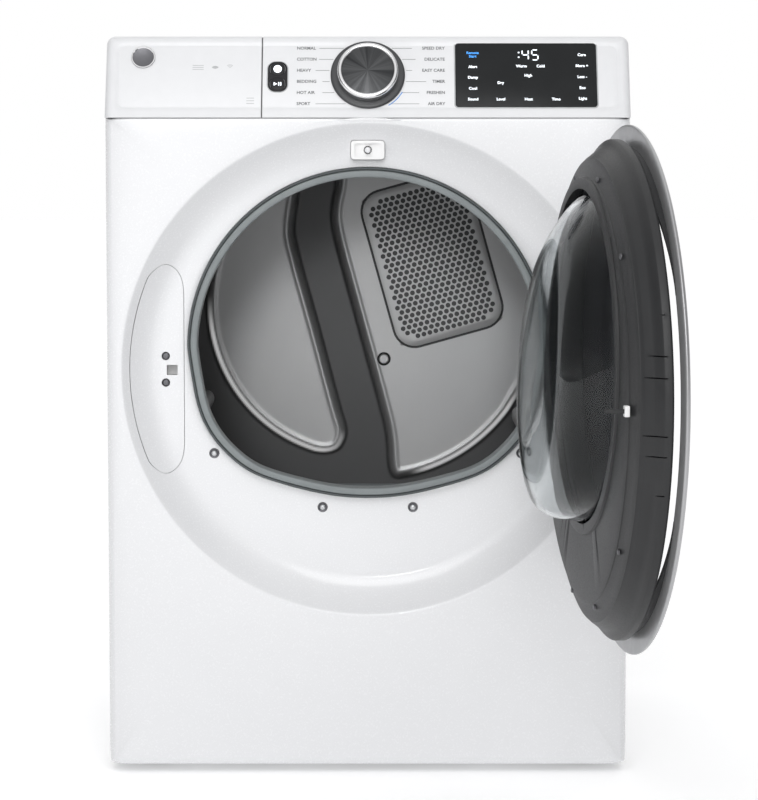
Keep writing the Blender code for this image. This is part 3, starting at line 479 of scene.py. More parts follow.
def make_materials():
    """Every look on the dryer, by name."""
    looks = {
        "enamel": surface("white_enamel", (0.735, 0.74, 0.755), 0.26, vary=0.004, grain=420.0, relief=0.05,
                          depth=0.0001, rough_spread=0.03, Coat_Weight=0.35, Coat_Roughness=0.08),
        "plastic": surface("white_plastic", (0.695, 0.70, 0.715), 0.33, vary=0.012, grain=900.0, relief=0.06,
                           depth=0.0001, rough_spread=0.04),
        "fascia": surface("fascia_white", (0.70, 0.705, 0.72), 0.36, vary=0.01, grain=900.0, relief=0.05,
                          depth=0.0001, rough_spread=0.04),
        "catch": surface("catch_white", (0.78, 0.78, 0.78), 0.45, vary=0.03, grain=700.0, relief=0.1,
                         depth=0.0001),
        "black_glass": surface("display_black", (0.014, 0.015, 0.016), 0.22, vary=0.1, grain=300.0,
                               relief=0.01,
                               depth=0.0001, rough_spread=0.03, Specular_IOR_Level=0.14),
        "button": surface("button_black", (0.018, 0.018, 0.02), 0.36, vary=0.1, grain=900.0, relief=0.06,
                          depth=0.0001, Specular_IOR_Level=0.2),
        "dial": surface("dial_ring", (0.038, 0.039, 0.042), 0.38, vary=0.08, grain=900.0, relief=0.1,
                        depth=0.0001),
        "chrome": surface("knob_chrome", (0.74, 0.74, 0.75), 0.16, 1.0, vary=0.02, grain=500.0,
                          stretch=(1, 1, 6),
                          relief=0.03, depth=0.0001, rough_spread=0.05),
        "board": surface("board_green", (0.02, 0.13, 0.05), 0.45, vary=0.2, grain=260.0, relief=0.4),
        "seal": surface("seal_grey", (0.195, 0.215, 0.220), 0.55, vary=0.06, grain=600.0, relief=0.15,
                        depth=0.0002, Sheen_Weight=0.15),
        "seal_lip": surface("seal_lip", (0.075, 0.085, 0.088), 0.6, vary=0.08, grain=600.0, relief=0.2,
                            depth=0.0002),
        "filter": surface("filter_grey", (0.095, 0.105, 0.110), 0.5, vary=0.08, grain=700.0, relief=0.2,
                          depth=0.0002),
        "dark": surface("dark_plastic", (0.035, 0.036, 0.038), 0.45, vary=0.12, grain=700.0, relief=0.25,
                        depth=0.0002),
        "foot": surface("foot_plastic", (0.05, 0.05, 0.05), 0.6, vary=0.15, grain=400.0, relief=0.3),
        "drum": surface("drum_grey", (0.21, 0.211, 0.214), 0.40, 0.35, vary=0.08, grain=240.0, relief=0.12,
                        depth=0.0002, stretch=(1, 0.2, 1)),
        "bulkhead": surface("bulkhead_grey", (0.50, 0.505, 0.51), 0.42, 0.55, vary=0.015, grain=300.0,
                            stretch=(1, 1, 0.4), relief=0.05, depth=0.0001, rough_spread=0.03),
        "zinc": surface("zinc_steel", (0.56, 0.57, 0.58), 0.40, 0.9, vary=0.16, grain=150.0, relief=0.15,
                        rough_spread=0.12),
        "bright": surface("bright_steel", (0.62, 0.62, 0.63), 0.24, 1.0, vary=0.06, grain=500.0, relief=0.1,
                          stretch=(1, 1, 5)),
        "motor": surface("motor_case", (0.14, 0.14, 0.15), 0.42, 0.8, vary=0.15, grain=220.0, relief=0.35),
        "rubber": surface("roller_rubber", (0.03, 0.03, 0.03), 0.75, vary=0.2, grain=500.0, relief=0.4),
        "belt": surface("belt_rubber", (0.022, 0.022, 0.022), 0.7, vary=0.2, grain=900.0, relief=0.5,
                        stretch=(1, 6, 1)),
        "ring": surface("door_ring_grey", (0.40, 0.402, 0.41), 0.34, 0.6, vary=0.015, grain=60.0,
                        relief=0.02, depth=0.0001, rough_spread=0.05),
        "door": surface("door_dark", (0.024, 0.0244, 0.0256), 0.42, vary=0.06, grain=500.0, relief=0.06,
                        depth=0.0001, rough_spread=0.05, Specular_IOR_Level=0.3),
        "tinted": surface("tinted_glass", (0.02, 0.02, 0.023), 0.08, vary=0.1, grain=120.0, relief=0.01,
                          depth=0.0001, rough_spread=0.02, Coat_Weight=0.5, Coat_Roughness=0.03),
        "glass": surface("clear_glass", (0.93, 0.955, 0.96), 0.03, vary=0.01, grain=60.0, relief=0.01,
                         depth=0.0001, rough_spread=0.01, Transmission_Weight=1.0, IOR=1.22),
        "ink": surface("printed_grey", (0.10, 0.105, 0.11), 0.5, vary=0.1, grain=900.0, relief=0.05),
        # Faint grey print; also the painted shadow round the display and the buttons.
        "faint": surface("faint_print_and_painted_shadow", (0.42, 0.43, 0.44), 0.5, vary=0.08, grain=900.0, relief=0.05),
        "blue": surface("printed_blue", (0.03, 0.22, 0.62), 0.45, vary=0.08, grain=900.0, relief=0.05),
        "lit": surface("lit_white", (0.85, 0.87, 0.9), 0.4, vary=0.03, grain=900.0, relief=0.02,
                       Emission_Color=(0.85, 0.92, 1.0, 1.0), Emission_Strength=0.9),
        "lit_blue": surface("lit_blue", (0.05, 0.28, 0.75), 0.4, vary=0.05, grain=900.0, relief=0.02,
                            Emission_Color=(0.05, 0.35, 0.95, 1.0), Emission_Strength=0.7),
        # Near-black paint for the ring round the wall's boss: painted shadow.
        "shadow_paint": surface("painted_shadow_black", (0.012, 0.012, 0.013), 0.7, vary=0.2, grain=200.0, relief=0.2),
        "spun": spun_metal(),
    }
    # Painted shade: the groove at the console's seam is darkened.
    shaded(looks["enamel"], "seam", (0.10, 0.10, 0.105))
    shaded(looks["plastic"], "seam", (0.10, 0.10, 0.105))
    # Painted shade: the rear wall's channel and the hollow behind the heater grille are darkened.
    shaded(looks["bulkhead"], "channel", (0.085, 0.086, 0.088))
    # Painted highlight: the rims of the rear wall's pads are made near white and glow a little.
    shaded(looks["bulkhead"], "painted_highlight", (0.92, 0.92, 0.92))
    glow_where(looks["bulkhead"], "painted_highlight", 0.42)
    return looks


def spun_metal():
    """Dark metal turned on a lathe: fine rings, and soft spokes of painted reflection round the middle."""
    made = surface("spun_metal", (0.115, 0.117, 0.122), 0.34, 0.9, vary=0.02, grain=400.0, relief=0.02)
    tree = made.node_tree
    shader = tree.nodes["Principled BSDF"]
    where = shader_node(tree, "TexCoord")
    parts = shader_node(tree, "SeparateXYZ")
    tree.links.new(where.outputs["Object"], parts.inputs[0])
    turn = shader_node(tree, "Math")
    turn.operation = "ARCTAN2"
    tree.links.new(parts.outputs["Y"], turn.inputs[0])
    tree.links.new(parts.outputs["X"], turn.inputs[1])
    spokes = shader_node(tree, "TexNoise", Scale=2.2, Detail=6.0)
    spokes.noise_dimensions = "1D"
    tree.links.new(turn.outputs[0], spokes.inputs["W"])
    rings = shader_node(tree, "TexWave", Scale=900.0, Distortion=0.4)
    rings.wave_type = "RINGS"
    rings.rings_direction = "SPHERICAL"
    tree.links.new(where.outputs["Object"], rings.inputs["Vector"])
    # Painted reflection: lighter and darker wedges round the centre, in the base colour.
    painted_spoke_reflection = mixed(tree, spread(tree, spokes.outputs["Fac"], 0.0, 1.0), (0.028, 0.029, 0.031),
                 (0.092, 0.094, 0.097))
    tree.links.new(painted_spoke_reflection, shader.inputs["Base Color"])
    add_relief(tree, rings.outputs["Fac"], 0.25, 0.0001)
    return made


LOOKS = make_materials()
LETTER_LIFT = 0.00004
LETTER_WEIGHT = 0.00014


# Pieces


def show(name, bm, look, body="cabinet", nodes=(), local=None, sharp=35.0):
    """A piece of the visual model. bm is in cabinet coordinates, or in those of the place local."""
    mesh = bpy.data.meshes.new(name)
    bm.to_mesh(mesh)
    bm.free()
    mesh.materials.append(LOOKS[look])
    mesh.shade_smooth()
    mesh.set_sharp_from_angle(angle=math.radians(sharp))
    place = SHIFT @ SWING if body == "door" else SHIFT
    obj = placed(name, mesh)
    if local:
        obj.matrix_world = place @ local
    else:
        mesh.transform(place)
    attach(obj, body)
    if nodes:
        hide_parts(*nodes)
    return obj


def written(words, size, place, align="LEFT"):
    """Flat letters on a plane place, as a bmesh."""
    curve = bpy.data.curves.new("words", "FONT")
    curve.body = words
    curve.size = size
    curve.align_x = align
    curve.align_y = "CENTER"
    curve.extrude = LETTER_LIFT
    curve.offset = LETTER_WEIGHT
    curve.resolution_u = 3
    obj = placed("words", curve)
    mesh = bpy.data.meshes.new_from_object(obj.evaluated_get(bpy.context.evaluated_depsgraph_get()))
    bm = bmesh.new()
    bm.from_mesh(mesh)
    bm.transform(place)
    bpy.data.objects.remove(obj)
    bpy.data.curves.remove(curve)
    bpy.data.meshes.remove(mesh)
    return bm


# Cabinet front


BOTTOM_EDGE = 0.012
TOP_EDGE = 0.003
SIDE_FLAT = HALF - EDGE_RADIUS
FRAME_HALF = 0.3455
RIM_SOFT = 0.0009
SHEET_BACK = 0.040


def rolled(past, radius):
    """How far a sheet has fallen back once it is past the start of a rounded edge."""
    past = min(max(past, 0.0), radius)
    return radius - math.sqrt(radius * radius - past * past)


def dish_depth(radius):
    """The recess: flat floor, concave band, and a softly rounded rim."""
    turn = (radius - FLAT_RADIUS) / (RECESS_RADIUS - FLAT_RADIUS)
    if turn <= 0:
        return RECESS_DEPTH
    slope = RECESS_DEPTH * math.pi / 2 / (RECESS_RADIUS - FLAT_RADIUS)
    depth = RECESS_DEPTH * math.cos(turn * math.pi / 2) if turn < 1 else -slope * (radius - RECESS_RADIUS)
    return (depth + math.sqrt(depth * depth + 4 * RIM_SOFT * RIM_SOFT)) / 2


def front_loops():
    """Loops of the front sheet, from the opening's lip out to the cabinet's edges."""
    centre = (0.0, RECESS_Z)
    low, high = PANEL_FOOT + BOTTOM_EDGE, PANEL_TOP - TOP_EDGE
    corners = [(FRAME_HALF, high), (-FRAME_HALF, high), (-FRAME_HALF, low), (FRAME_HALF, low)]
    angles = [2 * math.pi * i / 288 + 0.001 for i in range(288)]
    angles += [math.atan2(z - RECESS_Z, x) % (2 * math.pi) for x, z in corners]
    angles.sort()
    opening = opening_outline()
    spokes = []
    for angle in angles:
        ahead = Vector((math.cos(angle), math.sin(angle)))
        spokes.append((ahead, reach(opening, centre, angle), reach(corners, centre, angle)))
    loops = []
    middle = Vector(centre)
    for share, depth in ((0, 0.0490), (0, 0.0368), (0.012, 0.0354), (0.04, 0.035), (0.3, 0.035),
                         (0.65, 0.035)):
        loops.append([(*mouth.lerp(middle + ahead * FLAT_RADIUS, share), depth) for ahead, mouth,
                      _ in spokes])
    band = RECESS_RADIUS - FLAT_RADIUS - 0.008
    radii = [FLAT_RADIUS + band * i / 14 for i in range(15)]
    radii += [RECESS_RADIUS + step * 0.0005 for step in (-12, -9, -6, -4, -2, -1, 0, 1, 2, 4, 7, 12)]
    for radius in radii:
        loop = []
        for ahead, _, _ in spokes:
            point = middle + ahead * radius
            loop.append((*point, dish_depth(radius) + rolled(abs(point.x) - SIDE_FLAT, EDGE_RADIUS)))
        loops.append(loop)
    for share in (0.1, 0.35, 0.7, 1.0):
        loop = []
        for ahead, _, edge in spokes:
            point = (middle + ahead * radii[-1]).lerp(edge, share)
            loop.append((*point, rolled(abs(point.x) - SIDE_FLAT, EDGE_RADIUS)))
        loops.append(loop)
    start = math.asin((FRAME_HALF - SIDE_FLAT) / EDGE_RADIUS)
    for step in range(1, 11):
        side_turn = start + (math.pi / 2 - start) * step / 10
        end_turn = math.pi / 2 * step / 10
        loops.append([rounded_edge(edge, side_turn, end_turn, low, high) for _, _, edge in spokes])
    loops.append([(x, z, SHEET_BACK) for x, z, _ in loops[-1]])
    return [[Vector((x, y, z)) for x, z, y in loop] for loop in loops]


def rounded_edge(edge, side_turn, end_turn, low, high):
    """A point of the rolled edge beyond a point on the sheet's frame, as (x, z, depth)."""
    x, z = edge
    depth = rolled(abs(x) - SIDE_FLAT, EDGE_RADIUS)
    if abs(x) > FRAME_HALF - 1e-6:
        depth = EDGE_RADIUS * (1 - math.cos(side_turn))
        x = math.copysign(SIDE_FLAT + EDGE_RADIUS * math.sin(side_turn), x)
    if z > high - 1e-6:
        depth += TOP_EDGE * (1 - math.cos(end_turn))
        z = high + TOP_EDGE * math.sin(end_turn)
    if z < low + 1e-6:
        depth += BOTTOM_EDGE * (1 - math.cos(end_turn))
        z = low - BOTTOM_EDGE * math.sin(end_turn)
    return x, z, min(depth, SHEET_BACK)


def front_sheet():
    """The whole front as a thin closed sheet, before the D cover is cut out of it."""
    bm = outward(loft(front_loops()))
    bm.normal_update()
    if sum(face.normal.y * face.calc_area() for face in bm.faces) > 0:
        bmesh.ops.reverse_faces(bm, faces=bm.faces)
    return evaluated(bm, "SOLIDIFY", thickness=0.0012, offset=-1.0)


def front_panel():
    """The front sheet with its holes, and the D cover with its slot and screws."""
    sheet = front_sheet()
    cover = sheet.copy()
    sheet = combined(sheet, upright(latch_outline(0.0007), -0.01, 0.060))
    window = raised(rounded(0.0472, 0.0272, 0.0050), SWITCH_Z)
    sheet = combined(sheet, upright(window, -0.01, 0.060))
    for x, z in SCREW_PLACES:
        sheet = combined(sheet, rod(0.0030, (x, 0.02, z), (x, 0.05, z)))
    show("front_panel_skin", sheet, "enamel", nodes=["front_panel"])
    cover = combined(cover, upright(latch_outline(0.0), -0.01, 0.060), "INTERSECT")
    slot = upright(rounded(0.0150, 0.0140, 0.0015), 0.0, 0.060,
                   place=Matrix.Translation((-0.26775, 0, LATCH_Z)))
    cover = combined(cover, slot)
    for z in (LATCH_Z + 0.0192, LATCH_Z - 0.0173):
        cover = combined(cover, rod(0.0058, (-0.2764, 0.0, z), (-0.2764, 0.06, z)))
        cross_screw(f"cover_screw_{'upper' if z > LATCH_Z else 'lower'}", (-0.2764, 0.0372, z), 0.0052,
                    "motor")
    show("latch_cover", cover, "enamel", nodes=["latch_plate"])


def cross_screw(name, place, radius, look, nodes=()):
    """A domed screw head with a cross recess, its face towards -Y."""
    dome = [(0, -0.45), (0.45, -0.42), (0.8, -0.28), (0.97, -0.06), (1.0, 0.1), (1.0, 0.35), (0, 0.35)]
    head = turned([(r * radius, h * radius) for r, h in dome], 40, facing(*place))
    x, y, z = place
    deep, thin, long = 0.75 * radius, 0.13 * radius, 0.55 * radius
    for half in ((long, thin), (thin, long)):
        low, high = (x - half[0], y - radius, z - half[1]), (x + half[0], y - 0.42 * radius + deep / 4,
                                                             z + half[1])
        head = combined(head, block(low, high))
    return show(name, head, look, nodes=nodes)


def panel_screws():
    """The screws in the recess, each in its cup."""
    for number, (x, z) in enumerate(SCREW_PLACES, 1):
        cross_screw(f"front_screw_{number}", (x, RECESS_DEPTH - 0.0012, z), 0.0040, "zinc",
                    [f"panel_screw_{number}"])
        cup = [(0.0044, -0.0002), (0.0062, -0.0007), (0.0070, 0.0), (0.0070, 0.0006), (0.0036, 0.0006)]
        show(f"screw_cup_{number}", turned(cup, 48, facing(x, RECESS_DEPTH - 0.0003, z)),
             "motor")


def door_switch():
    """The switch's housing and its button."""
    outer = raised(rounded(0.0460, 0.0260, 0.0046), SWITCH_Z)
    housing = upright(outer, 0.0225, 0.0478, edge=0.0009)
    well = [(x, z + SWITCH_Z - 0.0004) for x, z in rounded(0.0355, 0.0185, 0.0030)]
    housing = combined(housing, upright(well, 0.0, 0.0262))
    housing = combined(housing, rod(0.0056, (0, 0.0, SWITCH_Z), (0, 0.040, SWITCH_Z), 48))
    show("switch_housing", housing, "catch", nodes=["door_switch_housing"])
    profile = softened([(0, 0), (0.0030, 0.0), (0.0043, 0.0016), (0.0043, 0.024), (0, 0.024)], 2,
                       closed=False)
    button = turned(profile, 48, facing(0, 0.0165, SWITCH_Z))
    show("switch_button", button, "plastic", "door_switch_button", ["door_switch_button"])


def mouth_ring(section, count):
    """A closed ring that follows the opening, from (inset, depth) points."""
    loops = []
    for inset, depth in section:
        loops.append([(x, depth, z) for x, z in resampled(opening_outline(inset), count)])
    return outward(loft(loops, along=True))


def door_seal():
    """The rubber ring: a dark outer lip, a groove and a broad pale band with four clips."""
    lip = [(0.0005, 0.0500), (0.0005, 0.0240), (0.0012, 0.0222), (0.0026, 0.0215), (0.0040, 0.0225),
           (0.0045, 0.0250)]
    band = [(0.0044, 0.0255), (0.0050, 0.0218), (0.0060, 0.0210), (0.0122, 0.0210), (0.0136, 0.0218),
            (0.0140, 0.0235), (0.0140, 0.0500)]
    for name, profile, look in (("door_seal_lip", lip, "seal_lip"), ("door_seal_band", band, "seal")):
        show(name, mouth_ring(profile, 240), look, nodes=["door_seal"], sharp=60)
    for number, angle in enumerate((40.0, 63.5, 116.5, 140.0), 1):
        middle = Vector(polar((0, OPENING_Z), OPENING_RADIUS - 0.0095, angle))
        clip = upright(rounded(0.0240, 0.0078, 0.0016), 0.0202, 0.0212, edge=0.0004)
        place = Matrix.Translation((middle.x, 0, middle.y)) @ Matrix.Rotation(math.radians(90.0 - angle), 4,
                                                                              "Y")
        clip.transform(place)
        show(f"seal_clip_{number}", clip, "seal")


# Console


TOP_ROUND = 0.014
END_ROUND = 0.012
TOP_Z = HEIGHT - 0.0004
EMBOSS = 0.0012
FASCIA_OUT = -0.0009
PRINT_OUT = FASCIA_OUT + 0.00003
PRINT = 0.00004
LIT_PRINT = 0.00006
LENS_OUT = 0.00045
BUTTON_STEP = 0.0112
PLATE_HALF = 0.3425
LEFT_WORD_X = 0.0962
RIGHT_WORD_X = 0.1045
# How far back the painted shadow rims start.
SHADOW_RING_BACK = -0.0014


def console_centre():
    """The centre of the round between the tilted face and the top, as (y, z)."""
    z = TOP_Z - TOP_ROUND
    y = ((z - PANEL_TOP - GAP) * math.sin(TILT) + TOP_ROUND) / math.cos(TILT)
    return y, z


def emboss_depth(x, s):
    """The shallow tray in the console face that the printed plates lie in."""
    half_x, half_s, corner = PLATE_HALF, FACE_TALL / 2, 0.012
    away_x = abs(x) - half_x + corner
    away_s = abs(s - FACE_LOW - half_s) - half_s + corner
    outside = math.hypot(max(away_x, 0.0), max(away_s, 0.0)) + min(max(away_x, away_s), 0.0) - corner
    share = min(max(-outside / 0.005, 0.0), 1.0)
    return EMBOSS * share * share * (3 - 2 * share)


def console_column(x, inset, groove):
    """The console's section at x, moved inwards by inset near the rounded ends."""
    cy, cz = console_centre()
    foot = PANEL_TOP + GAP
    length = cy * math.sin(TILT) + (cz - foot) * math.cos(TILT)
    column = []
    for step in range(57):
        s = inset * math.tan(TILT) + (length - inset * math.tan(TILT)) * step / 56
        column.append(on_face(x, s, -inset - groove - emboss_depth(x, s)))
    radius = TOP_ROUND - inset - groove
    for y, z in arc((cy, cz), radius, 155, 90, 10)[1:]:
        column.append(Vector((x, y, z)))
    for share in (0.4, 0.8, 1.0):
        column.append(Vector((x, cy + (CONSOLE_DEPTH - cy) * share, cz + radius)))
    return column


def console_housing():
    """The console's shell, swept from end to end with rounded ends and a groove at the seam."""
    turns = [math.pi / 2 * i / 9 for i in range(10)]
    columns = [(-HALF + END_ROUND * (1 - math.cos(turn)), END_ROUND * (1 - math.sin(turn)),
                0.0) for turn in turns]
    inner = HALF - END_ROUND
    columns += [(-inner + 2 * inner * i / 270, 0.0, 0.0) for i in range(1, 270)]
    columns = [column for column in columns if abs(column[0] - SEAM_X) > 0.0013]
    columns += [(SEAM_X + step, 0.0, deep) for step, deep in
                ((-0.0010, 0.0), (-0.0005, 0.0016), (0.0005, 0.0016), (0.0010, 0.0))]
    columns += [(-x, inset, 0.0) for x, inset, _ in columns[:10]]
    columns.sort()
    bm = loft([console_column(*column) for column in columns], around=False)
    # Marks the seam's groove for painted shade.
    seam = bm.verts.layers.float.new("seam")
    for vert in bm.verts:
        if abs(vert.co.x - SEAM_X) < 0.0007:
            vert[seam] = 1.0
    verts = list(bm.verts)
    count = len(verts) // len(columns)
    for end, x in ((0, -HALF), (len(columns) - 1, HALF)):
        rim = verts[end * count:(end + 1) * count]
        steps = ((CONSOLE_DEPTH, STEP_Z), (STEP_Y, STEP_Z), (STEP_Y, PANEL_TOP + GAP))
        rim += [bm.verts.new((x, y, z)) for y, z in steps]
        bm.faces.new(rim)
    outward(bm)
    show("console_shell", bm, "plastic", nodes=["console_housing"], sharp=50)


def fascias():
    """The two printed plates, which meet at the seam."""
    half, inset = PLATE_HALF, 0.0052
    middle = FACE_LOW + FACE_TALL / 2
    outline = rounded(2 * (half - inset), FACE_TALL - 2 * inset, 0.0080)
    for name, left, right in (("fascia_left", -half, SEAM_X - 0.0011),
                              ("fascia_right", SEAM_X + 0.0011, half)):
        plate = extruded(outline, -0.0016, FASCIA_OUT, face_place(0, middle), edge=0.0002)
        width = right - left
        place = face_place((left + right) / 2, middle)
        plate = combined(plate, extruded(rounded(width, 0.2, 0.0002, 2), -0.02, 0.02, place), "INTERSECT")
        show(f"{name}_plate", plate, "fascia", nodes=[name])


LABEL_ROWS = [0.1043 - 0.01667 * row for row in range(6)]
LEFT_WORDS = ["NORMAL", "COTTON", "HEAVY", "BEDDING", "HOT AIR", "SPORT"]
RIGHT_WORDS = ["SPEED DRY", "DELICATE", "EASY CARE", "TIMER", "FRESHEN", "AIR DRY"]


def cycle_marks():
    """Cycle words either side of the dial, each with a thin line that leads to it."""
    letters, lines = [], []
    ring = 0.0515
    for row, s in enumerate(LABEL_ROWS):
        letters.append(written(LEFT_WORDS[row], 0.0062, face_place(-LEFT_WORD_X, s, PRINT_OUT)))
        letters.append(written(RIGHT_WORDS[row], 0.0062, face_place(RIGHT_WORD_X, s, PRINT_OUT), "RIGHT"))
        reach_x = math.sqrt(max(ring * ring - (s - KNOB_S) ** 2, 0.012 ** 2)) + 0.001
        for side, words, start in ((-1, LEFT_WORDS[row], LEFT_WORD_X), (1, RIGHT_WORDS[row], RIGHT_WORD_X)):
            word = 0.0047 * len(words) + 0.002
            width = start - word - reach_x
            if width > 0.002:
                place = face_place(side * (reach_x + width / 2), s, PRINT_OUT)
                lines.append(extruded(rounded(width, 0.0006, 0.0002, 2), 0.0, PRINT, place))
    show("cycle_words", merged(*letters), "ink")
    show("cycle_lines", merged(*lines), "ink")
    mark = arc((0, 0), 0.0535, -58, -28, 16) + arc((0, 0), 0.0523, -28, -58, 16)
    show("dial_mark", extruded(mark, 0.0, LIT_PRINT, face_place(0, KNOB_S, PRINT_OUT)), "blue")


def plain_marks():
    """A blank badge and plain generic marks on the left plate: a signal, a leaf and two sets of bars."""
    disc = [(0, 0.0), (0.0150, 0.0), (0.0162, 0.0006), (0.0162, 0.0014), (0.0150, 0.0019), (0.0138, 0.0014),
            (0, 0.0014)]
    place = face_place(-0.3047, 0.0902, PRINT_OUT)
    show("blank_badge", turned(disc, 64, place), "motor")
    rim = turned([(0.0138, 0.0013), (0.0146, 0.0022), (0.0158, 0.0022), (0.0163, 0.0006), (0.0138, 0.0006)],
                 64, place)
    show("badge_rim", rim, "chrome")
    marks = []
    for i in range(3):
        outer = arc((0, -0.002), 0.0022 + 0.0018 * i, 45, 135, 9)
        marks.append((outer + arc((0, -0.002), 0.0015 + 0.0018 * i, 135, 45, 9), -0.1868, 0.0760))
    leaf = arc((0, -0.004), 0.006, 40, 140, 12) + arc((0, 0.0037), 0.006, 220, 320, 12)[1:-1]
    marks.append((leaf, -0.2068, 0.0758))
    marks += [(rounded(0.0150, 0.0009, 0.0003, 3), -0.2300, 0.0755 + y) for y in (0.0030, 0.0, -0.0030)]
    marks += [(rounded(0.0105, 0.0010, 0.0003, 3), -0.1587, 0.0255 + y) for y in (0.0040, 0.0, -0.0040)]
    shapes = [extruded(outline, 0.0, PRINT, face_place(x, s, PRINT_OUT)) for outline, x, s in marks]
    show("plain_marks", merged(*shapes), "faint")


SEGMENTS = {"0": "abcdef", "1": "bc", "2": "abged", "3": "abgcd", "4": "fgbc", "5": "afgcd", "8": "abcdefg"}


def digit(figure, x, s, tall):
    """One seven-segment figure as thin bars."""
    wide, thick = 0.55 * tall, 0.11 * tall
    half, quarter = tall / 2, tall / 4
    places = {"a": (0, half, 0), "g": (0, 0, 0), "d": (0, -half, 0), "f": (-wide / 2, quarter, 1),
              "b": (wide / 2, quarter, 1), "e": (-wide / 2, -quarter, 1), "c": (wide / 2, -quarter, 1)}
    bars = []
    for segment in SEGMENTS[figure]:
        dx, dy, standing = places[segment]
        length = (half if standing else wide) - thick * 1.15
        size = (thick, length) if standing else (length, thick)
        outline = rounded(*size, thick * 0.45, 4)
        bars.append(extruded(outline, 0.0, LIT_PRINT, face_place(x + dx, s + dy, LENS_OUT)))
    return bars


DISPLAY_WORDS = [(-0.0720, 0.0120, "Alert"), (-0.0720, -0.0040, "Damp"), (-0.0720, -0.0205, "Cool"),
                 (-0.0720, -0.0365, "Sound"), (-0.0345, -0.0120, "Dry"), (-0.0345, -0.0365, "Level"),
                 (0.0030, -0.0010, "High"), (-0.0060, 0.0130, "Warm"), (0.0200, 0.0130, "Cold"),
                 (0.0030, -0.0365, "Heat"), (0.0400, -0.0365, "Time"), (0.0760, 0.0300, "Care"),
                 (0.0760, 0.0135, "More +"), (0.0760, -0.0030, "Less -"), (0.0760, -0.0195, "Eco"),
                 (0.0760, -0.0355, "Light")]


def display():
    """The display's glass, a grey rim painted round it as its soft shadow, and what it shows."""
    x, s = DISPLAY
    lens = extruded(rounded(0.1915, 0.0957, 0.0045), -0.0014, 0.0004, face_place(x, s), edge=0.0006)
    show("display_glass", lens, "black_glass", nodes=["display_lens"])
    # A grey rim round the glass: painted shadow.
    shadow_outline = rounded(0.1950, 0.0992, 0.0060)
    rim = extruded(shadow_outline, SHADOW_RING_BACK, FASCIA_OUT + 0.0002, face_place(x, s), edge=0.0002)
    show("display_painted_shadow", rim, "faint")
    words = [written(word, 0.0056, face_place(x + dx, s + ds, LENS_OUT), "CENTER") for dx, ds,
             word in DISPLAY_WORDS]
    show("display_words", merged(*words), "lit")
    blue = [written("Remote", 0.0052, face_place(x - 0.0720, s + 0.0330, LENS_OUT), "CENTER"),
            written("Start", 0.0052, face_place(x - 0.0720, s + 0.0278, LENS_OUT), "CENTER")]
    show("display_blue_words", merged(*blue), "lit_blue")
    bars = digit("4", x - 0.0005, s + 0.0300, 0.0150) + digit("5", x + 0.0125, s + 0.0300, 0.0150)
    for step in (0.0035, -0.0035):
        bars.append(extruded(rounded(0.0022, 0.0022, 0.0010, 4), 0.0, LIT_PRINT,
                             face_place(x - 0.0095, s + 0.0300 + step, LENS_OUT)))
    show("display_figures", merged(*bars), "lit")


def dial():
    """The dial's base and the knob."""
    base = [(0.0075, -0.0012), (0.0492, -0.0012), (0.0505, 0.0004), (0.0502, 0.0016), (0.0485, 0.0030),
            (0.0440, 0.0035), (0.0075, 0.0035)]
    show("dial_base", turned(softened(base, 2), 160, face_place(0, KNOB_S)), "dial", nodes=["dial_base_ring"])
    r, top = KNOB_RADIUS, KNOB_HEIGHT
    body = [(0, 0.0042), (r - 0.0012, 0.0042), (r, 0.0056), (r, top - 0.0030), (r - 0.0012, top - 0.0008),
            (r - 0.0036, top), (r - 0.0058, top - 0.0006), (r - 0.0066, top - 0.0024), (0, top - 0.0024)]
    show("knob_grip", turned(softened(body[1:-1], 2, closed=False), 192, closed=False), "chrome",
         "cycle_knob",
         ["cycle_knob"], local=face_place(0, KNOB_S))
    face = [(0, top - 0.0036), (r - 0.0064, top - 0.0036), (r - 0.0064, top - 0.0021),
            (r - 0.0078, top - 0.0016),
            (0, top - 0.0019)]
    show("knob_face", turned(face, 128), "spun", "cycle_knob", local=face_place(0, KNOB_S))
    shaft = rod(0.0062, (0, 0, -0.012), (0, 0, 0.006), 32)
    show("knob_shaft", shaft, "bright", "cycle_knob", local=face_place(0, KNOB_S))


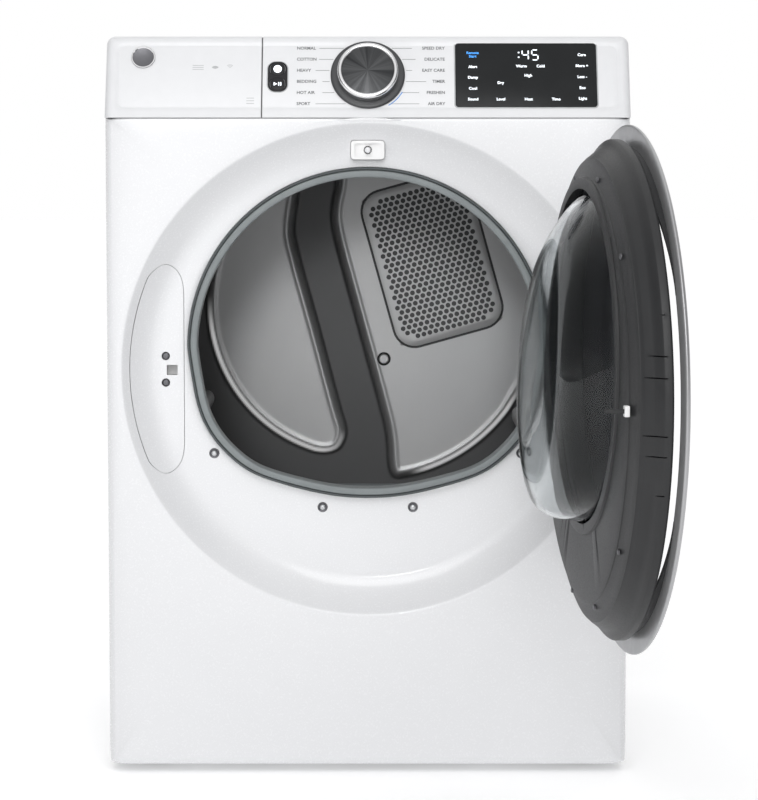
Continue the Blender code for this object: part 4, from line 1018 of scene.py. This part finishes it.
def buttons():
    """The black surround, its two buttons and their signs."""
    bezel = extruded(rounded(0.0265, 0.0445, 0.0105), -0.0080, 0.0006, face_place(*PILL), edge=0.0006)
    for s in (PILL[1] + BUTTON_STEP, PILL[1] - BUTTON_STEP):
        bezel = combined(bezel,
                         extruded(rounded(0.0206, 0.0190, 0.0080), -0.0060, 0.01, face_place(PILL[0], s)))
    show("button_bezel", bezel, "button", nodes=["button_surround"])
    # A grey rim round the surround: painted shadow.
    shadow_ring = extruded(rounded(0.0292, 0.0472, 0.0118), SHADOW_RING_BACK, FASCIA_OUT + 0.0002, face_place(*PILL),
                    edge=0.0002)
    show("button_painted_shadow", shadow_ring, "faint")
    for name, s in (("power_button", PILL[1] + BUTTON_STEP), ("start_button", PILL[1] - BUTTON_STEP)):
        cap = extruded(rounded(0.0198, 0.0182, 0.0076), -0.0030, 0.0008, face_place(PILL[0], s), edge=0.0007)
        show(f"{name}_cap", cap, "button", name, [name])
    place = face_place(PILL[0], PILL[1] + BUTTON_STEP, 0.00082)
    disc = extruded(arc((0, 0), 0.0056, 0, 350, 36), 0.0, LIT_PRINT, place)
    show("power_light", disc, "lit", "power_button")
    turn = face_place(PILL[0], PILL[1] + BUTTON_STEP, 0.0009)
    sign = extruded(arc((0, 0), 0.0034, 120, 420, 25) + arc((0, 0), 0.0026, 420, 120, 25), 0.0, 0.00005, turn)
    bar = extruded([(-0.0004, 0.0008), (0.0004, 0.0008), (0.0004, 0.0042), (-0.0004, 0.0042)], 0.0, 0.00005,
                   turn)
    show("power_sign", merged(sign, bar), "ink", "power_button")
    place = face_place(PILL[0], PILL[1] - BUTTON_STEP, 0.00082)
    shapes = [extruded([(-0.0052, -0.0028), (-0.0004, 0.0), (-0.0052, 0.0028)], 0.0, LIT_PRINT, place)]
    for x in (0.0016, 0.0044):
        shapes.append(extruded([(x - 0.0008, -0.0026), (x + 0.0008, -0.0026), (x + 0.0008, 0.0026),
                                (x - 0.0008, 0.0026)], 0.0, LIT_PRINT, place))
    show("start_sign", merged(*shapes), "lit", "start_button")


# Drum and rear wall


BEADS = (0.126, 0.150, 0.174, 0.535, 0.559)
BAFFLE_ANGLE = 87.0
PAD_RISE = 0.014
GRID = 0.0025


def drum():
    """The drum's turned shell: rolled beads, and a lip at each end."""
    r = DRUM_RADIUS
    first, last = DRUM_FRONT + 0.004, DRUM_BACK - 0.004
    wall = []
    for step in range(141):
        y = first + (last - first) * step / 140
        bead = sum(math.exp(-(((y - middle) / 0.0045) ** 2)) for middle in BEADS)
        wall.append((r - 0.0006 - 0.0024 * bead, y))
    inner = [(radius - 0.0009, y) for radius, y in reversed(wall)]
    profile = [(0.3060, DRUM_FRONT), (r - 0.0035, DRUM_FRONT), (r - 0.0012, DRUM_FRONT + 0.0012)] + wall
    profile += [(r - 0.0012, DRUM_BACK - 0.0012), (r - 0.0035, DRUM_BACK), (0.3080, DRUM_BACK)]
    profile += [(0.3080, DRUM_BACK - 0.0013), (r - 0.0045, DRUM_BACK - 0.0013)] + inner
    profile += [(r - 0.0045, DRUM_FRONT + 0.0013), (0.3060, DRUM_FRONT + 0.0013)]
    shell = turned(profile, 192, facing(0, 0, DRUM_Z))
    show("drum_shell", shell, "drum", "drum", ["drum"])


def baffles():
    """Three lifters with rounded crests and tapered ends."""
    taper = [(0.0, 0.06), (0.002, 0.40), (0.007, 0.68), (0.016, 0.86), (0.032, 0.96), (0.060, 1.0)]
    first, last = DRUM_FRONT + 0.0203, DRUM_BACK - 0.0203
    stops = [(first + away, size) for away, size in taper]
    stops += [(last - away, size) for away, size in reversed(taper)]
    crest = softened([(0.0295, 0.0), (0.0125, 0.0550), (-0.0125, 0.0550), (-0.0295, 0.0)], 3, closed=False)
    foot = DRUM_RADIUS - 0.0033
    for number in range(3):
        loops = [[(x * (0.7 + 0.3 * size), y, foot - high * size) for x, high in crest] for y, size in stops]
        bm = outward(loft(loops), fill=True)
        turn = Matrix.Rotation(math.radians(90.0 - BAFFLE_ANGLE - 120.0 * number), 4, "Y")
        bm.transform(Matrix.Translation((0, 0, DRUM_Z)) @ turn)
        name = f"drum_baffle_{number + 1}"
        show(f"lifter_{number + 1}", bm, "drum", "drum", [name], sharp=50)


def spiral(first, last, start, end, count):
    """Points round the drum's axis whose distance from it changes evenly, in degrees."""
    points = []
    for i in range(count):
        share = i / (count - 1)
        angle = start + (end - start) * share
        points.append(polar((0, DRUM_Z), first + (last - first) * share, angle))
    return points


def left_pad():
    """The raised pad left of the channel, as (x, z)."""
    edge = arc((0, DRUM_Z), 0.290, 112, 140, 8) + spiral(0.2550, 0.2335, 162, 250, 24)
    edge += [(-0.0600, 0.3800), (-0.0430, 0.3880)]
    edge += [(-0.0340, 0.4140), (-0.0462, 0.4505), (-0.0786, 0.5766), (-0.1143, 0.7028), (-0.1190, 0.7349)]
    return softened(edge + [(-0.1085, 0.7926)], 3)


def right_pad():
    """The raised pad right of the channel, as (x, z)."""
    edge = arc((0, DRUM_Z), 0.300, -4, 100, 26) + [(-0.0440, 0.8086), (-0.0560, 0.7638), (-0.0532, 0.7278)]
    edge += [(-0.0208, 0.6095), (0.0188, 0.4647), (0.0330, 0.4080), (0.0345, 0.3560), (0.0420, 0.3400)]
    return softened(edge + spiral(0.2645, 0.2700, 283, 326, 14), 3)


def depth_inside(x, z, outline):
    """How far each grid point lies inside an outline, negative outside it."""
    nearest = np.full(x.shape, 1.0)
    inside = np.zeros(x.shape, bool)
    for (ax, az), (bx, bz) in zip(outline, outline[1:] + outline[:1]):
        dx, dz = bx - ax, bz - az
        share = np.clip(((x - ax) * dx + (z - az) * dz) / (dx * dx + dz * dz), 0.0, 1.0)
        nearest = np.minimum(nearest, np.hypot(x - ax - share * dx, z - az - share * dz))
        if dz:
            inside ^= ((az > z) != (bz > z)) & (x < dx * (z - az) / dz + ax)
    return np.where(inside, nearest, -nearest)


def eased(values, low, high):
    """A smooth step from 0 at low to 1 at high."""
    share = np.clip((values - low) / (high - low), 0.0, 1.0)
    return share * share * (3 - 2 * share)


def rear_wall():
    """The pressed rear wall: two raised pads with rolled edges, and the channel between them, darkened with
    painted shade. The pads' rims carry a painted highlight.
    """
    count = int(WALL_RADIUS / GRID)
    line = np.arange(-count, count + 1) * GRID
    x, z = np.meshgrid(line, line + DRUM_Z, indexing="ij")
    inside = np.maximum(depth_inside(x, z, left_pad()), depth_inside(x, z, right_pad()))
    y = REAR_WALL_Y + PAD_RISE * (1 - eased(inside, -0.004, 0.007))
    y -= 0.0016 * np.exp(-(((inside - 0.010) / 0.003) ** 2))
    heater = Matrix.Rotation(-GRILLE_TILT, 2)
    along = (x - GRILLE[0]) * heater[0][0] + (z - GRILLE[1]) * heater[0][1]
    across = (x - GRILLE[0]) * heater[1][0] + (z - GRILLE[1]) * heater[1][1]
    hollow = (np.abs(along) < 0.080) & (np.abs(across) < 0.117)
    y = np.where(hollow, REAR_WALL_Y + PAD_RISE, y)
    # The angles and radii where the pads' rims get a painted highlight.
    angle = np.degrees(np.arctan2(z - DRUM_Z, x)) % 360
    lit = eased(angle, 172, 190) * (1 - eased(angle, 250, 264))
    lit += eased(angle, 284, 292) * (1 - eased(angle, 325, 336))
    lit *= eased(np.hypot(x, z - DRUM_Z), 0.185, 0.205)
    # channel darkens the channel and the hollow behind the grille as painted shade; the other attribute is
    # the rims' painted highlight.
    shades = {"channel": np.where(hollow, 1.0, 1 - eased(inside, -0.003, 0.002)),
              "painted_highlight": lit * np.exp(-(((inside - 0.0035) / 0.0036) ** 4))}
    show("rear_wall_sheet", height_sheet(x, y, z, shades), "bulkhead", nodes=["rear_bulkhead"],
         sharp=80)


def height_sheet(x, y, z, shades):
    """A round sheet over a square grid, with its painted attributes."""
    bm = bmesh.new()
    layers = {name: bm.verts.layers.float.new(name) for name in shades}
    verts = {}
    for i, j in np.argwhere(np.hypot(x, z - DRUM_Z) <= WALL_RADIUS):
        vert = bm.verts.new((x[i, j], y[i, j], z[i, j]))
        for name, layer in layers.items():
            vert[layer] = shades[name][i, j]
        verts[i, j] = vert
    for i, j in verts:
        corners = [verts.get(key) for key in ((i, j), (i + 1, j), (i + 1, j + 1), (i, j + 1))]
        if all(corners):
            bm.faces.new(corners)
    return bm


def inlet_grille():
    """The tilted plate of round holes over the heater, in its dark groove."""
    place = Matrix.Translation((GRILLE[0], 0, GRILLE[1])) @ Matrix.Rotation(-GRILLE_TILT, 4, "Y")
    wide, tall = GRILLE_SIZE
    outline = rounded(wide - 0.0070, tall - 0.0070, 0.0322)
    plate = upright(outline, REAR_WALL_Y - 0.0008, REAR_WALL_Y + 0.0010, edge=0.0004)
    pitch, radius, corner = 0.0097, 0.0038, 0.022
    half_x, half_z = wide / 2 - 0.0150 - corner, tall / 2 - 0.0180 - corner
    holes = []
    for row in range(-13, 14):
        for column in range(-8, 9):
            x, z = (column + row % 2 / 2) * pitch, row * pitch * math.sqrt(3) / 2
            if math.hypot(max(abs(x) - half_x, 0), max(abs(z) - half_z, 0)) < corner:
                holes.append(rod(radius, (x, REAR_WALL_Y - 0.01, z), (x, REAR_WALL_Y + 0.01, z), 16))
    plate = combined(plate, merged(*holes))
    plate.transform(place)
    show("grille_plate", plate, "bulkhead", nodes=["air_inlet_grille"])
    groove = upright(rounded(wide, tall, 0.0356), REAR_WALL_Y - 0.0002, REAR_WALL_Y + 0.0012)
    inner = rounded(wide - 0.0160, tall - 0.0160, 0.0270)
    groove = combined(groove, upright(inner, REAR_WALL_Y - 0.01, REAR_WALL_Y + 0.01))
    groove.transform(place)
    show("grille_groove", groove, "dark")


def wall_boss():
    """The thermistor's boss beside the grille, with a near-black ring painted round it as its shadow."""
    place = facing(BOSS[0], REAR_WALL_Y, BOSS[1])
    profile = [(0, -0.0036), (0.0062, -0.0036), (0.0074, -0.0030), (0.0080, -0.0018), (0.0080, 0.0100),
               (0, 0.0100)]
    show("boss_cap", turned(softened(profile[1:5], 2, closed=False), 64, place, closed=False), "bulkhead",
         nodes=["thermistor"])
    show("boss_face", turned(profile[:2] + [(0.0062, -0.0030), (0, -0.0030)], 48, place), "bulkhead")
    # A flat near-black ring round the boss: painted shadow.
    ring = [(0.0078, -0.0008), (0.0106, -0.0008), (0.0106, 0.0002), (0.0078, 0.0002)]
    show("boss_shadow", turned(ring, 64, place), "shadow_paint")


def mouth_parts():
    """Behind the opening: the bulkhead, its throat, the lint filter, the moisture bars and the catch."""
    sheet = block((-0.338, 0.0705, 0.180), (0.338, 0.0725, 0.940), 0.0004)
    sheet = combined(sheet, upright(opening_outline(0.004), 0.060, 0.080))
    rim = [(0.3000, 0.0718), (0.3030, 0.0718), (0.3030, 0.0835), (0.3000, 0.0835)]
    rim = turned(rim, 160, facing(0, 0, DRUM_Z))
    show("bulkhead_sheet", merged(sheet, rim), "zinc", nodes=["front_bulkhead"])
    throat = [(0.0136, 0.0455), (0.0130, 0.0500), (0.0090, 0.0600), (0.0062, 0.0704)]
    throat += [(0.0040, 0.0726), (0.0030, 0.0720), (0.0040, 0.0600), (0.0100, 0.0455)]
    show("mouth_throat", mouth_ring(throat, 200), "filter", sharp=60)
    lip = block((-0.0625, 0.0515, 0.3850), (0.0625, 0.0695, 0.3955), 0.0022)
    slot = upright(rounded(0.0960, 0.0120, 0.0050), 0.0560, 0.0650, place=Matrix.Translation((0, 0, 0.3960)))
    screen = block((-0.130, 0.0550, 0.200), (0.130, 0.0640, 0.3860), 0.002)
    show("lint_lip", merged(combined(lip, slot), screen), "filter", "lint_filter", ["lint_filter"])
    bars = [block((-0.165, 0.0735, z), (-0.117, 0.0765, z + 0.0022), 0.0006) for z in (0.4005, 0.4060)]
    show("moisture_bars", merged(*bars), "motor", nodes=["moisture_sensor"])
    catch = block((-0.2790, 0.0380, LATCH_Z - 0.011), (-0.2565, 0.0640, LATCH_Z + 0.011), 0.0012)
    catch = combined(catch, block((-0.2755, 0.030, LATCH_Z - 0.0075), (-0.2600, 0.060, LATCH_Z + 0.0075)))
    show("catch_body", catch, "catch", nodes=["door_catch"])


# Door, drawn closed


HINGE_MID = RECESS_Z
SKIRT_START = 26.0
SEAM_HEIGHTS = (0.668, 0.621, 0.596, 0.529, 0.505, 0.459)


def door_turned(profile, steps=192, z=RECESS_Z):
    """Turned about the door's centre line from (radius, depth behind the rim plane) points."""
    return turned(profile, steps, facing(0, RIM_Y, z))


def skirt_section(angle):
    """The skirt behind the ring at one angle. It tapers away round the finger gap."""
    away = abs(angle % 360 - 180) - SKIRT_START
    share = min(away / (HANDLE_HALF + 14 - SKIRT_START), 1.0)
    tall = 0.0003 + 0.0118 * share * share * (3 - 2 * share)
    across, up = math.cos(math.radians(angle)), math.sin(math.radians(angle))
    section = ((0.2990, 0.0004), (0.3035, 0.0004), (0.3035, 0.0004 + tall), (0.2990, 0.0004 + tall))
    return [(radius * across, RIM_Y + depth, RECESS_Z + radius * up) for radius, depth in section]


def hinge_notch(inner, front, back):
    """The room for the hinge in the door's edge."""
    return block((inner, RIM_Y + front, HINGE_MID - 0.052), (0.345, RIM_Y + back, HINGE_MID + 0.052))


def door_ring():
    """The grey ring, the dark skirt behind it and the cover over the hinge."""
    r = DOOR_RADIUS
    face = [(0.2990, 0.0006), (0.2985, 0.0), (0.2975, -0.0035), (0.3020, -0.0060), (0.3120, -0.0070),
            (r - 0.0050, -0.0056), (r, -0.0022), (r, 0.0005), (r - 0.0030, 0.0012)]
    ring = door_turned(softened(face, 2, closed=False))
    show("door_rim", combined(ring, hinge_notch(0.262, -0.002, 0.030)), "ring", "door", ["door_ring"])
    turn = (360 - 2 * SKIRT_START) / 200
    skirt = outward(loft([skirt_section(180 + SKIRT_START + turn * step) for step in range(201)]), fill=True)
    show("door_skirt", combined(skirt, hinge_notch(0.262, -0.002, 0.030)), "door", "door",
         sharp=50)
    cover = block((0.2620, RIM_Y - 0.0060, HINGE_MID - 0.0515),
                  (0.2985, RIM_Y - 0.0035, HINGE_MID + 0.0515), 0.0008)
    show("hinge_cover", cover, "door", "door")


def door_panel():
    """The tinted window, and the dark inner shell with its stepped rings, seams, screws and mouth."""
    glass = WINDOW_RADIUS
    window = [(0, 0.0118), (glass - 0.0020, 0.0118), (glass - 0.0006, 0.0122), (glass, 0.0134),
              (glass, 0.0160),
              (0, 0.0160)]
    show("outer_glass", door_turned(window), "tinted", "door", ["door_window"])
    back = [(0.0, 0.0560), (0.2600, 0.0560), (0.2655, 0.0540), (0.2662, 0.0528), (0.2790, 0.0482),
            (0.2830, 0.0478),
            (0.2890, 0.0452), (0.2896, 0.0436), (0.2930, 0.0410), (0.2936, 0.0398), (0.2998, 0.0322),
            (0.3006, 0.0304),
            (0.3060, 0.0262), (0.3112, 0.0222), (0.3120, 0.0210), (0.3120, 0.0130), (0.3100, 0.0105)]
    front = [(0.3045, 0.0098), (0.3040, 0.0130), (glass + 0.0008, 0.0130), (glass + 0.0008, 0.0165),
             (0.2980, 0.0170),
             (0.2980, 0.0280), (0.2870, 0.0410), (0.2560, 0.0530), (0.0, 0.0530)]
    shell = door_turned(back + front)
    collar = [(0.0, 0.0545), (0.2230, 0.0520), (0.2230, 0.0560), (0.2218, 0.0588), (0.2200, 0.0595),
              (0.0, 0.0595)]
    shell = combined(shell, door_turned(collar, 160, BOWL_Z), "UNION")
    mouth = BOWL_RADIUS + 0.0015
    shell = combined(shell, door_turned([(0, 0.03), (mouth, 0.03), (mouth, 0.09), (0, 0.09)], 160, BOWL_Z))
    shell = combined(shell, hinge_notch(0.2713, 0.010, 0.070))
    for z in SEAM_HEIGHTS:
        shell = combined(shell, block((-0.3300, RIM_Y + 0.0180, z - 0.0007),
                                      (-0.2890, RIM_Y + 0.0620, z + 0.0007)))
    show("door_shell", shell, "door", "door", ["door_inner_panel"])
    wall = [(0.2096, 0.0162), (0.2125, 0.0162), (0.2125, 0.0535), (0.2096, 0.0535)]
    show("mouth_wall", door_turned(wall, 160, BOWL_Z), "door", "door", sharp=50)
    for number, angle in enumerate((40, 75, 105, 140, 220, 255, 285, 320), 1):
        x, z = polar((0, RECESS_Z), 0.2715, angle)
        place = facing(x, RIM_Y + 0.0515, z)
        head = [(0, 0), (0.0036, 0), (0.0036, 0.0016), (0.0028, 0.0024), (0, 0.0026)]
        show(f"door_screw_{number}", turned(head, 24, place), "motor", "door")


def bowl_loops(levels, count=160):
    """Circles between a top and a bottom height at each depth behind the rim plane."""
    loops = []
    for depth, top, bottom in levels:
        middle, radius = (top + bottom) / 2, max((top - bottom) / 2, 0.0004)
        loops.append([(x, RIM_Y + depth, z) for x, z in circle((0, middle), radius, count)])
    return loops


def door_bowl():
    """The clear glass bowl: it slopes from the top down to its deepest part near the foot."""
    high, low = BOWL_Z + BOWL_RADIUS, BOWL_Z - BOWL_RADIUS
    outer = [(0.0445, high + 0.009, low - 0.009), (0.0490, high + 0.009, low - 0.009), (0.0500, high, low),
             (0.0600, high - 0.010, low + 0.001), (0.0760, high - 0.030, low + 0.003),
             (0.0920, high - 0.054, low + 0.006), (0.1050, high - 0.084, low + 0.011),
             (0.1140, high - 0.122, low + 0.019), (0.1190, high - 0.165, low + 0.034),
             (0.1205, high - 0.215, low + 0.062), (0.1212, high - 0.288, low + 0.125)]
    inner = [(depth - 0.0036, top - 0.0036, bottom + 0.0036) for depth, top, bottom in reversed(outer[3:])]
    inner.append((0.0445, high - 0.004, low + 0.004))
    levels = softened(outer, 2, closed=False) + softened(inner, 2, closed=False)
    shell = outward(loft(bowl_loops(levels), along=True))
    show("glass_bowl", shell, "glass", "door", ["door_bowl"], sharp=50)


def door_fittings():
    """The strike hook on its foot, and the hinge arm with its barrel."""
    hook = block((-0.2700, RIM_Y + 0.0560, LATCH_Z - 0.0026), (-0.2665, RIM_Y + 0.0830, LATCH_Z + 0.0026),
                 0.0008)
    show("strike_hook", hook, "door", "door", ["door_hook"])
    foot = block((-0.2735, RIM_Y + 0.0540, LATCH_Z - 0.0065), (-0.2630, RIM_Y + 0.0600, LATCH_Z + 0.0065),
                 0.0010)
    show("strike_foot", foot, "catch", "door")
    x, y = HINGE.x, HINGE.y
    barrel = rod(0.0066, (x, y, HINGE_MID - 0.030), (x, y, HINGE_MID + 0.030), 40, 0.0036)
    strap = block((0.255, y + 0.0036, HINGE_MID - 0.030), (x, y + 0.0062, HINGE_MID + 0.030), 0.0006)
    show("hinge_strap", merged(barrel, strap), "zinc", "door", ["hinge_arm"])


# Outer panels and feet


def side_skins():
    """The cabinet's sides, each with a shallow pressed field."""
    middle_y, middle_z = (SHEET_BACK + DEPTH) / 2, (PANEL_FOOT + PANEL_TOP) / 2
    wide, tall = DEPTH - SHEET_BACK - 0.0045, PANEL_TOP - PANEL_FOOT - 0.001
    field = ((0.0, 0.0, 0.0015), (0.0, 0.0, 0.0), (0.045, 0.020, 0.0), (0.0475, 0.020, 0.0004),
             (0.0500, 0.020, 0.0016), (0.0525, 0.019, 0.0020), (0.30, 0.004, 0.0020))
    for name, sign in (("left_side_panel", -1), ("right_side_panel", 1)):
        loops = []
        for inset, corner, deep in field:
            outline = rounded(wide - 2 * inset, tall - 2 * inset, max(corner, 0.0005), 7)
            loops.append([(sign * (HALF - deep), middle_y + y, middle_z + z) for y, z in outline])
        skin = outward(loft(loops), fill=True)
        low, high = sorted((sign * HALF, sign * (HALF - 0.0019)))
        upper = block((low, CONSOLE_DEPTH + GAP, 0.8970), (high, DEPTH - 0.0035, HEIGHT - 0.0065), 0.0004)
        step = block((low, STEP_Y + GAP, 0.8970), (high, CONSOLE_DEPTH + 0.010, STEP_Z - GAP), 0.0004)
        show(f"{name}_skin", merged(skin, upper, step), "enamel", nodes=[name])


def top_skin():
    """The lid."""
    lid = block((-HALF, CONSOLE_DEPTH + GAP, HEIGHT - 0.006), (HALF, DEPTH, HEIGHT), 0.0028, 5)
    show("top_skin", lid, "enamel", nodes=["top_panel"])


def rear_fittings():
    """Screws round the rear sheet, hoods over its louvres, the terminal cover and the beaded exhaust duct."""
    places = [(x, z) for x in (-0.340, 0.340) for z in (0.060, 0.280, 0.500, 0.720, 0.940)]
    places += [(x, 0.985) for x in (-0.200, 0.0, 0.200)]
    places = [(x, DEPTH - 0.001, z) for x, z in places] + [(0.265, DEPTH + 0.014, 0.885)]
    for number, (x, y, z) in enumerate(places, 1):
        head = [(0, 0.0026), (0.0026, 0.0022), (0.0042, 0.0006), (0.0048, 0.0), (0.0048, -0.0008),
                (0, -0.0008)]
        place = facing(x, y, z)
        show(f"rear_screw_{number}", turned(head, 24, place), "bright")
    hoods = []
    for row in range(6):
        z = 0.62 + 0.022 * row
        hood = turned([(0, -0.0592), (0.0045, -0.0592), (0.0045, 0.0592), (0, 0.0592)], 32,
                      Matrix.Translation((-0.18, DEPTH - 0.001, z + 0.0080)) @ ALONG_X)
        hoods.append(combined(hood, block((-0.3, DEPTH - 0.03, z - 0.01), (-0.1, DEPTH - 0.0012, z + 0.03))))
    show("louvre_hoods", merged(*hoods), "zinc")
    cover = block((0.215, DEPTH - 0.0005, 0.800), (0.315, DEPTH + 0.014, 0.900), 0.0030)
    inlet = rod(0.0110, (0.265, DEPTH + 0.007, 0.790), (0.265, DEPTH + 0.007, 0.806), 32)
    show("terminal_box", combined(cover, inlet), "zinc", nodes=["terminal_cover"])
    r = DUCT_RADIUS
    wall = [(r, 0.1725)]
    for y in (0.40, DEPTH + 0.012):
        wall += [(r, y - 0.005), (r - 0.0018, y - 0.002), (r - 0.0018, y + 0.002), (r, y + 0.005)]
    wall += [(r, DEPTH + 0.035), (r - 0.0015, DEPTH + 0.035), (r - 0.0030, DEPTH + 0.024),
             (r - 0.0030, 0.1725)]
    duct = turned(wall, 96, facing(0, 0, DUCT_Z))
    show("duct_tube", duct, "zinc", nodes=["exhaust_duct"])


def feet():
    """Four feet, each with its pad and stem."""
    profile = [(0, 0), (0.0165, 0), (0.0185, 0.0012), (0.0188, 0.0030), (0.0170, 0.0088), (0.0060, 0.0110),
               (0.0050, 0.0130), (0.0050, 0.0450), (0, 0.0450)]
    for number, (x, y) in enumerate(FOOT_PLACES, 1):
        name = f"levelling_foot_{number}"
        foot = turned(profile, 48, Matrix.Translation((x, y, 0)))
        show(f"foot_pad_{number}", foot, "foot", name, [name])


# Plain nodes keep the frame's own mesh


NODE_LOOKS = {
    "rear_panel": "zinc", "base_pan": "zinc", "lint_duct": "dark", "control_board": "board",
    "heater_housing": "zinc", "drum_belt": "belt", "motor": "motor", "motor_pulley": "bright",
    "blower_wheel": "dark", "blower_housing": "dark", "idler_arm": "zinc", "idler_bracket": "zinc",
    "idler_pulley": "dark", "drum_roller_left": "rubber", "drum_roller_right": "rubber", "hinge_leaf": "zinc",
}


def dress_nodes():
    """Looks for the nodes that keep the frame's mesh."""
    for name, look in NODE_LOOKS.items():
        mesh = frame["nodes"][name].data
        mesh.materials.clear()
        mesh.materials.append(LOOKS[look])


# Stage


CAMERA_PLACE = (0, -3.9466, 0.8619)
CAMERA_TILT = math.radians(85.01)
CAMERA_LENS = 131.28
CAMERA_SHIFT = 0.01406
SENSOR = 36.0
FLOOR_HALF = 30.0


def light(name, kind, energy, place, target, **settings):
    """A lamp at a place in the cabinet's frame, turned towards a target."""
    lamp = bpy.data.lights.new(name, kind)
    lamp.energy = energy
    for setting, value in settings.items():
        setattr(lamp, setting, value)
    obj = bpy.data.objects.new(name, lamp)
    way = Vector(target) - Vector(place)
    obj.matrix_world = SHIFT @ Matrix.Translation(place) @ way.to_track_quat("-Z", "Y").to_matrix().to_4x4()
    bpy.context.scene.collection.objects.link(obj)


def make_world():
    """A white studio whose side walls are a little darker than its front, back and ceiling."""
    world = bpy.data.worlds.new("studio")
    bpy.context.scene.world = world
    world.use_nodes = True
    tree = world.node_tree
    where = shader_node(tree, "TexCoord")
    parts = shader_node(tree, "SeparateXYZ")
    tree.links.new(where.outputs["Generated"], parts.inputs[0])
    sideways = shader_node(tree, "Math")
    sideways.operation = "ABSOLUTE"
    tree.links.new(parts.outputs["X"], sideways.inputs[0])
    falling = shader_node(tree, "MapRange", From_Min=0.35, From_Max=0.95, To_Min=1.0, To_Max=0.12)
    falling.interpolation_type = "SMOOTHSTEP"
    tree.links.new(sideways.outputs[0], falling.inputs["Value"])
    tree.links.new(falling.outputs["Result"], tree.nodes["Background"].inputs["Strength"])
    tree.nodes["Background"].inputs["Color"].default_value = (1.0, 1.0, 1.0, 1.0)


def stage():
    """The studio: world, lights and floor."""
    make_world()
    light("front_softbox", "AREA", 45.0, (-0.2, -3.4, 2.6), (0, 0, 0.55), size=2.0)
    light("opening_spot", "SPOT", 210.0, (-0.12, -2.4, 1.15), (0.0, 0.62, 0.620),
          spot_size=math.radians(10.5),
          spot_blend=1.0, shadow_soft_size=0.45)
    floor = bmesh.new()
    bmesh.ops.create_grid(floor, x_segments=1, y_segments=1, size=FLOOR_HALF)
    mesh = bpy.data.meshes.new("studio_floor")
    floor.to_mesh(mesh)
    floor.free()
    mesh.materials.append(surface("floor_white", (0.90, 0.90, 0.905), 0.8, vary=0.01, grain=2.0, relief=0.02,
                                   Emission_Color=(1.0, 1.0, 1.0, 1.0), Emission_Strength=0.30))
    placed("studio_floor", mesh)


def camera():
    """The main camera."""
    lens = bpy.data.cameras.new("main_camera")
    lens.lens = CAMERA_LENS
    lens.sensor_width = SENSOR
    lens.shift_x = CAMERA_SHIFT
    obj = bpy.data.objects.new("main_camera", lens)
    obj.matrix_world = SHIFT @ Matrix.Translation(CAMERA_PLACE) @ Matrix.Rotation(CAMERA_TILT, 4, "X")
    bpy.context.scene.collection.objects.link(obj)
    bpy.context.scene.camera = obj


def write_sizes():
    """Gathers the world corners of every shown mesh but the floor; nothing is kept or written."""
    bpy.context.view_layer.update()
    corners = []
    for obj in bpy.context.scene.objects:
        if obj.type == "MESH" and obj.name != "studio_floor" and not obj.hide_render:
            corners += [obj.matrix_world @ Vector(corner) for corner in obj.bound_box]


front_panel()
panel_screws()
door_switch()
door_seal()
console_housing()
fascias()
cycle_marks()
plain_marks()
display()
dial()
buttons()
drum()
baffles()
rear_wall()
inlet_grille()
wall_boss()
mouth_parts()
door_ring()
door_panel()
door_bowl()
door_fittings()
side_skins()
top_skin()
rear_fittings()
feet()
dress_nodes()
stage()
camera()
bpy.context.scene.view_settings.view_transform = "Standard"
write_sizes()
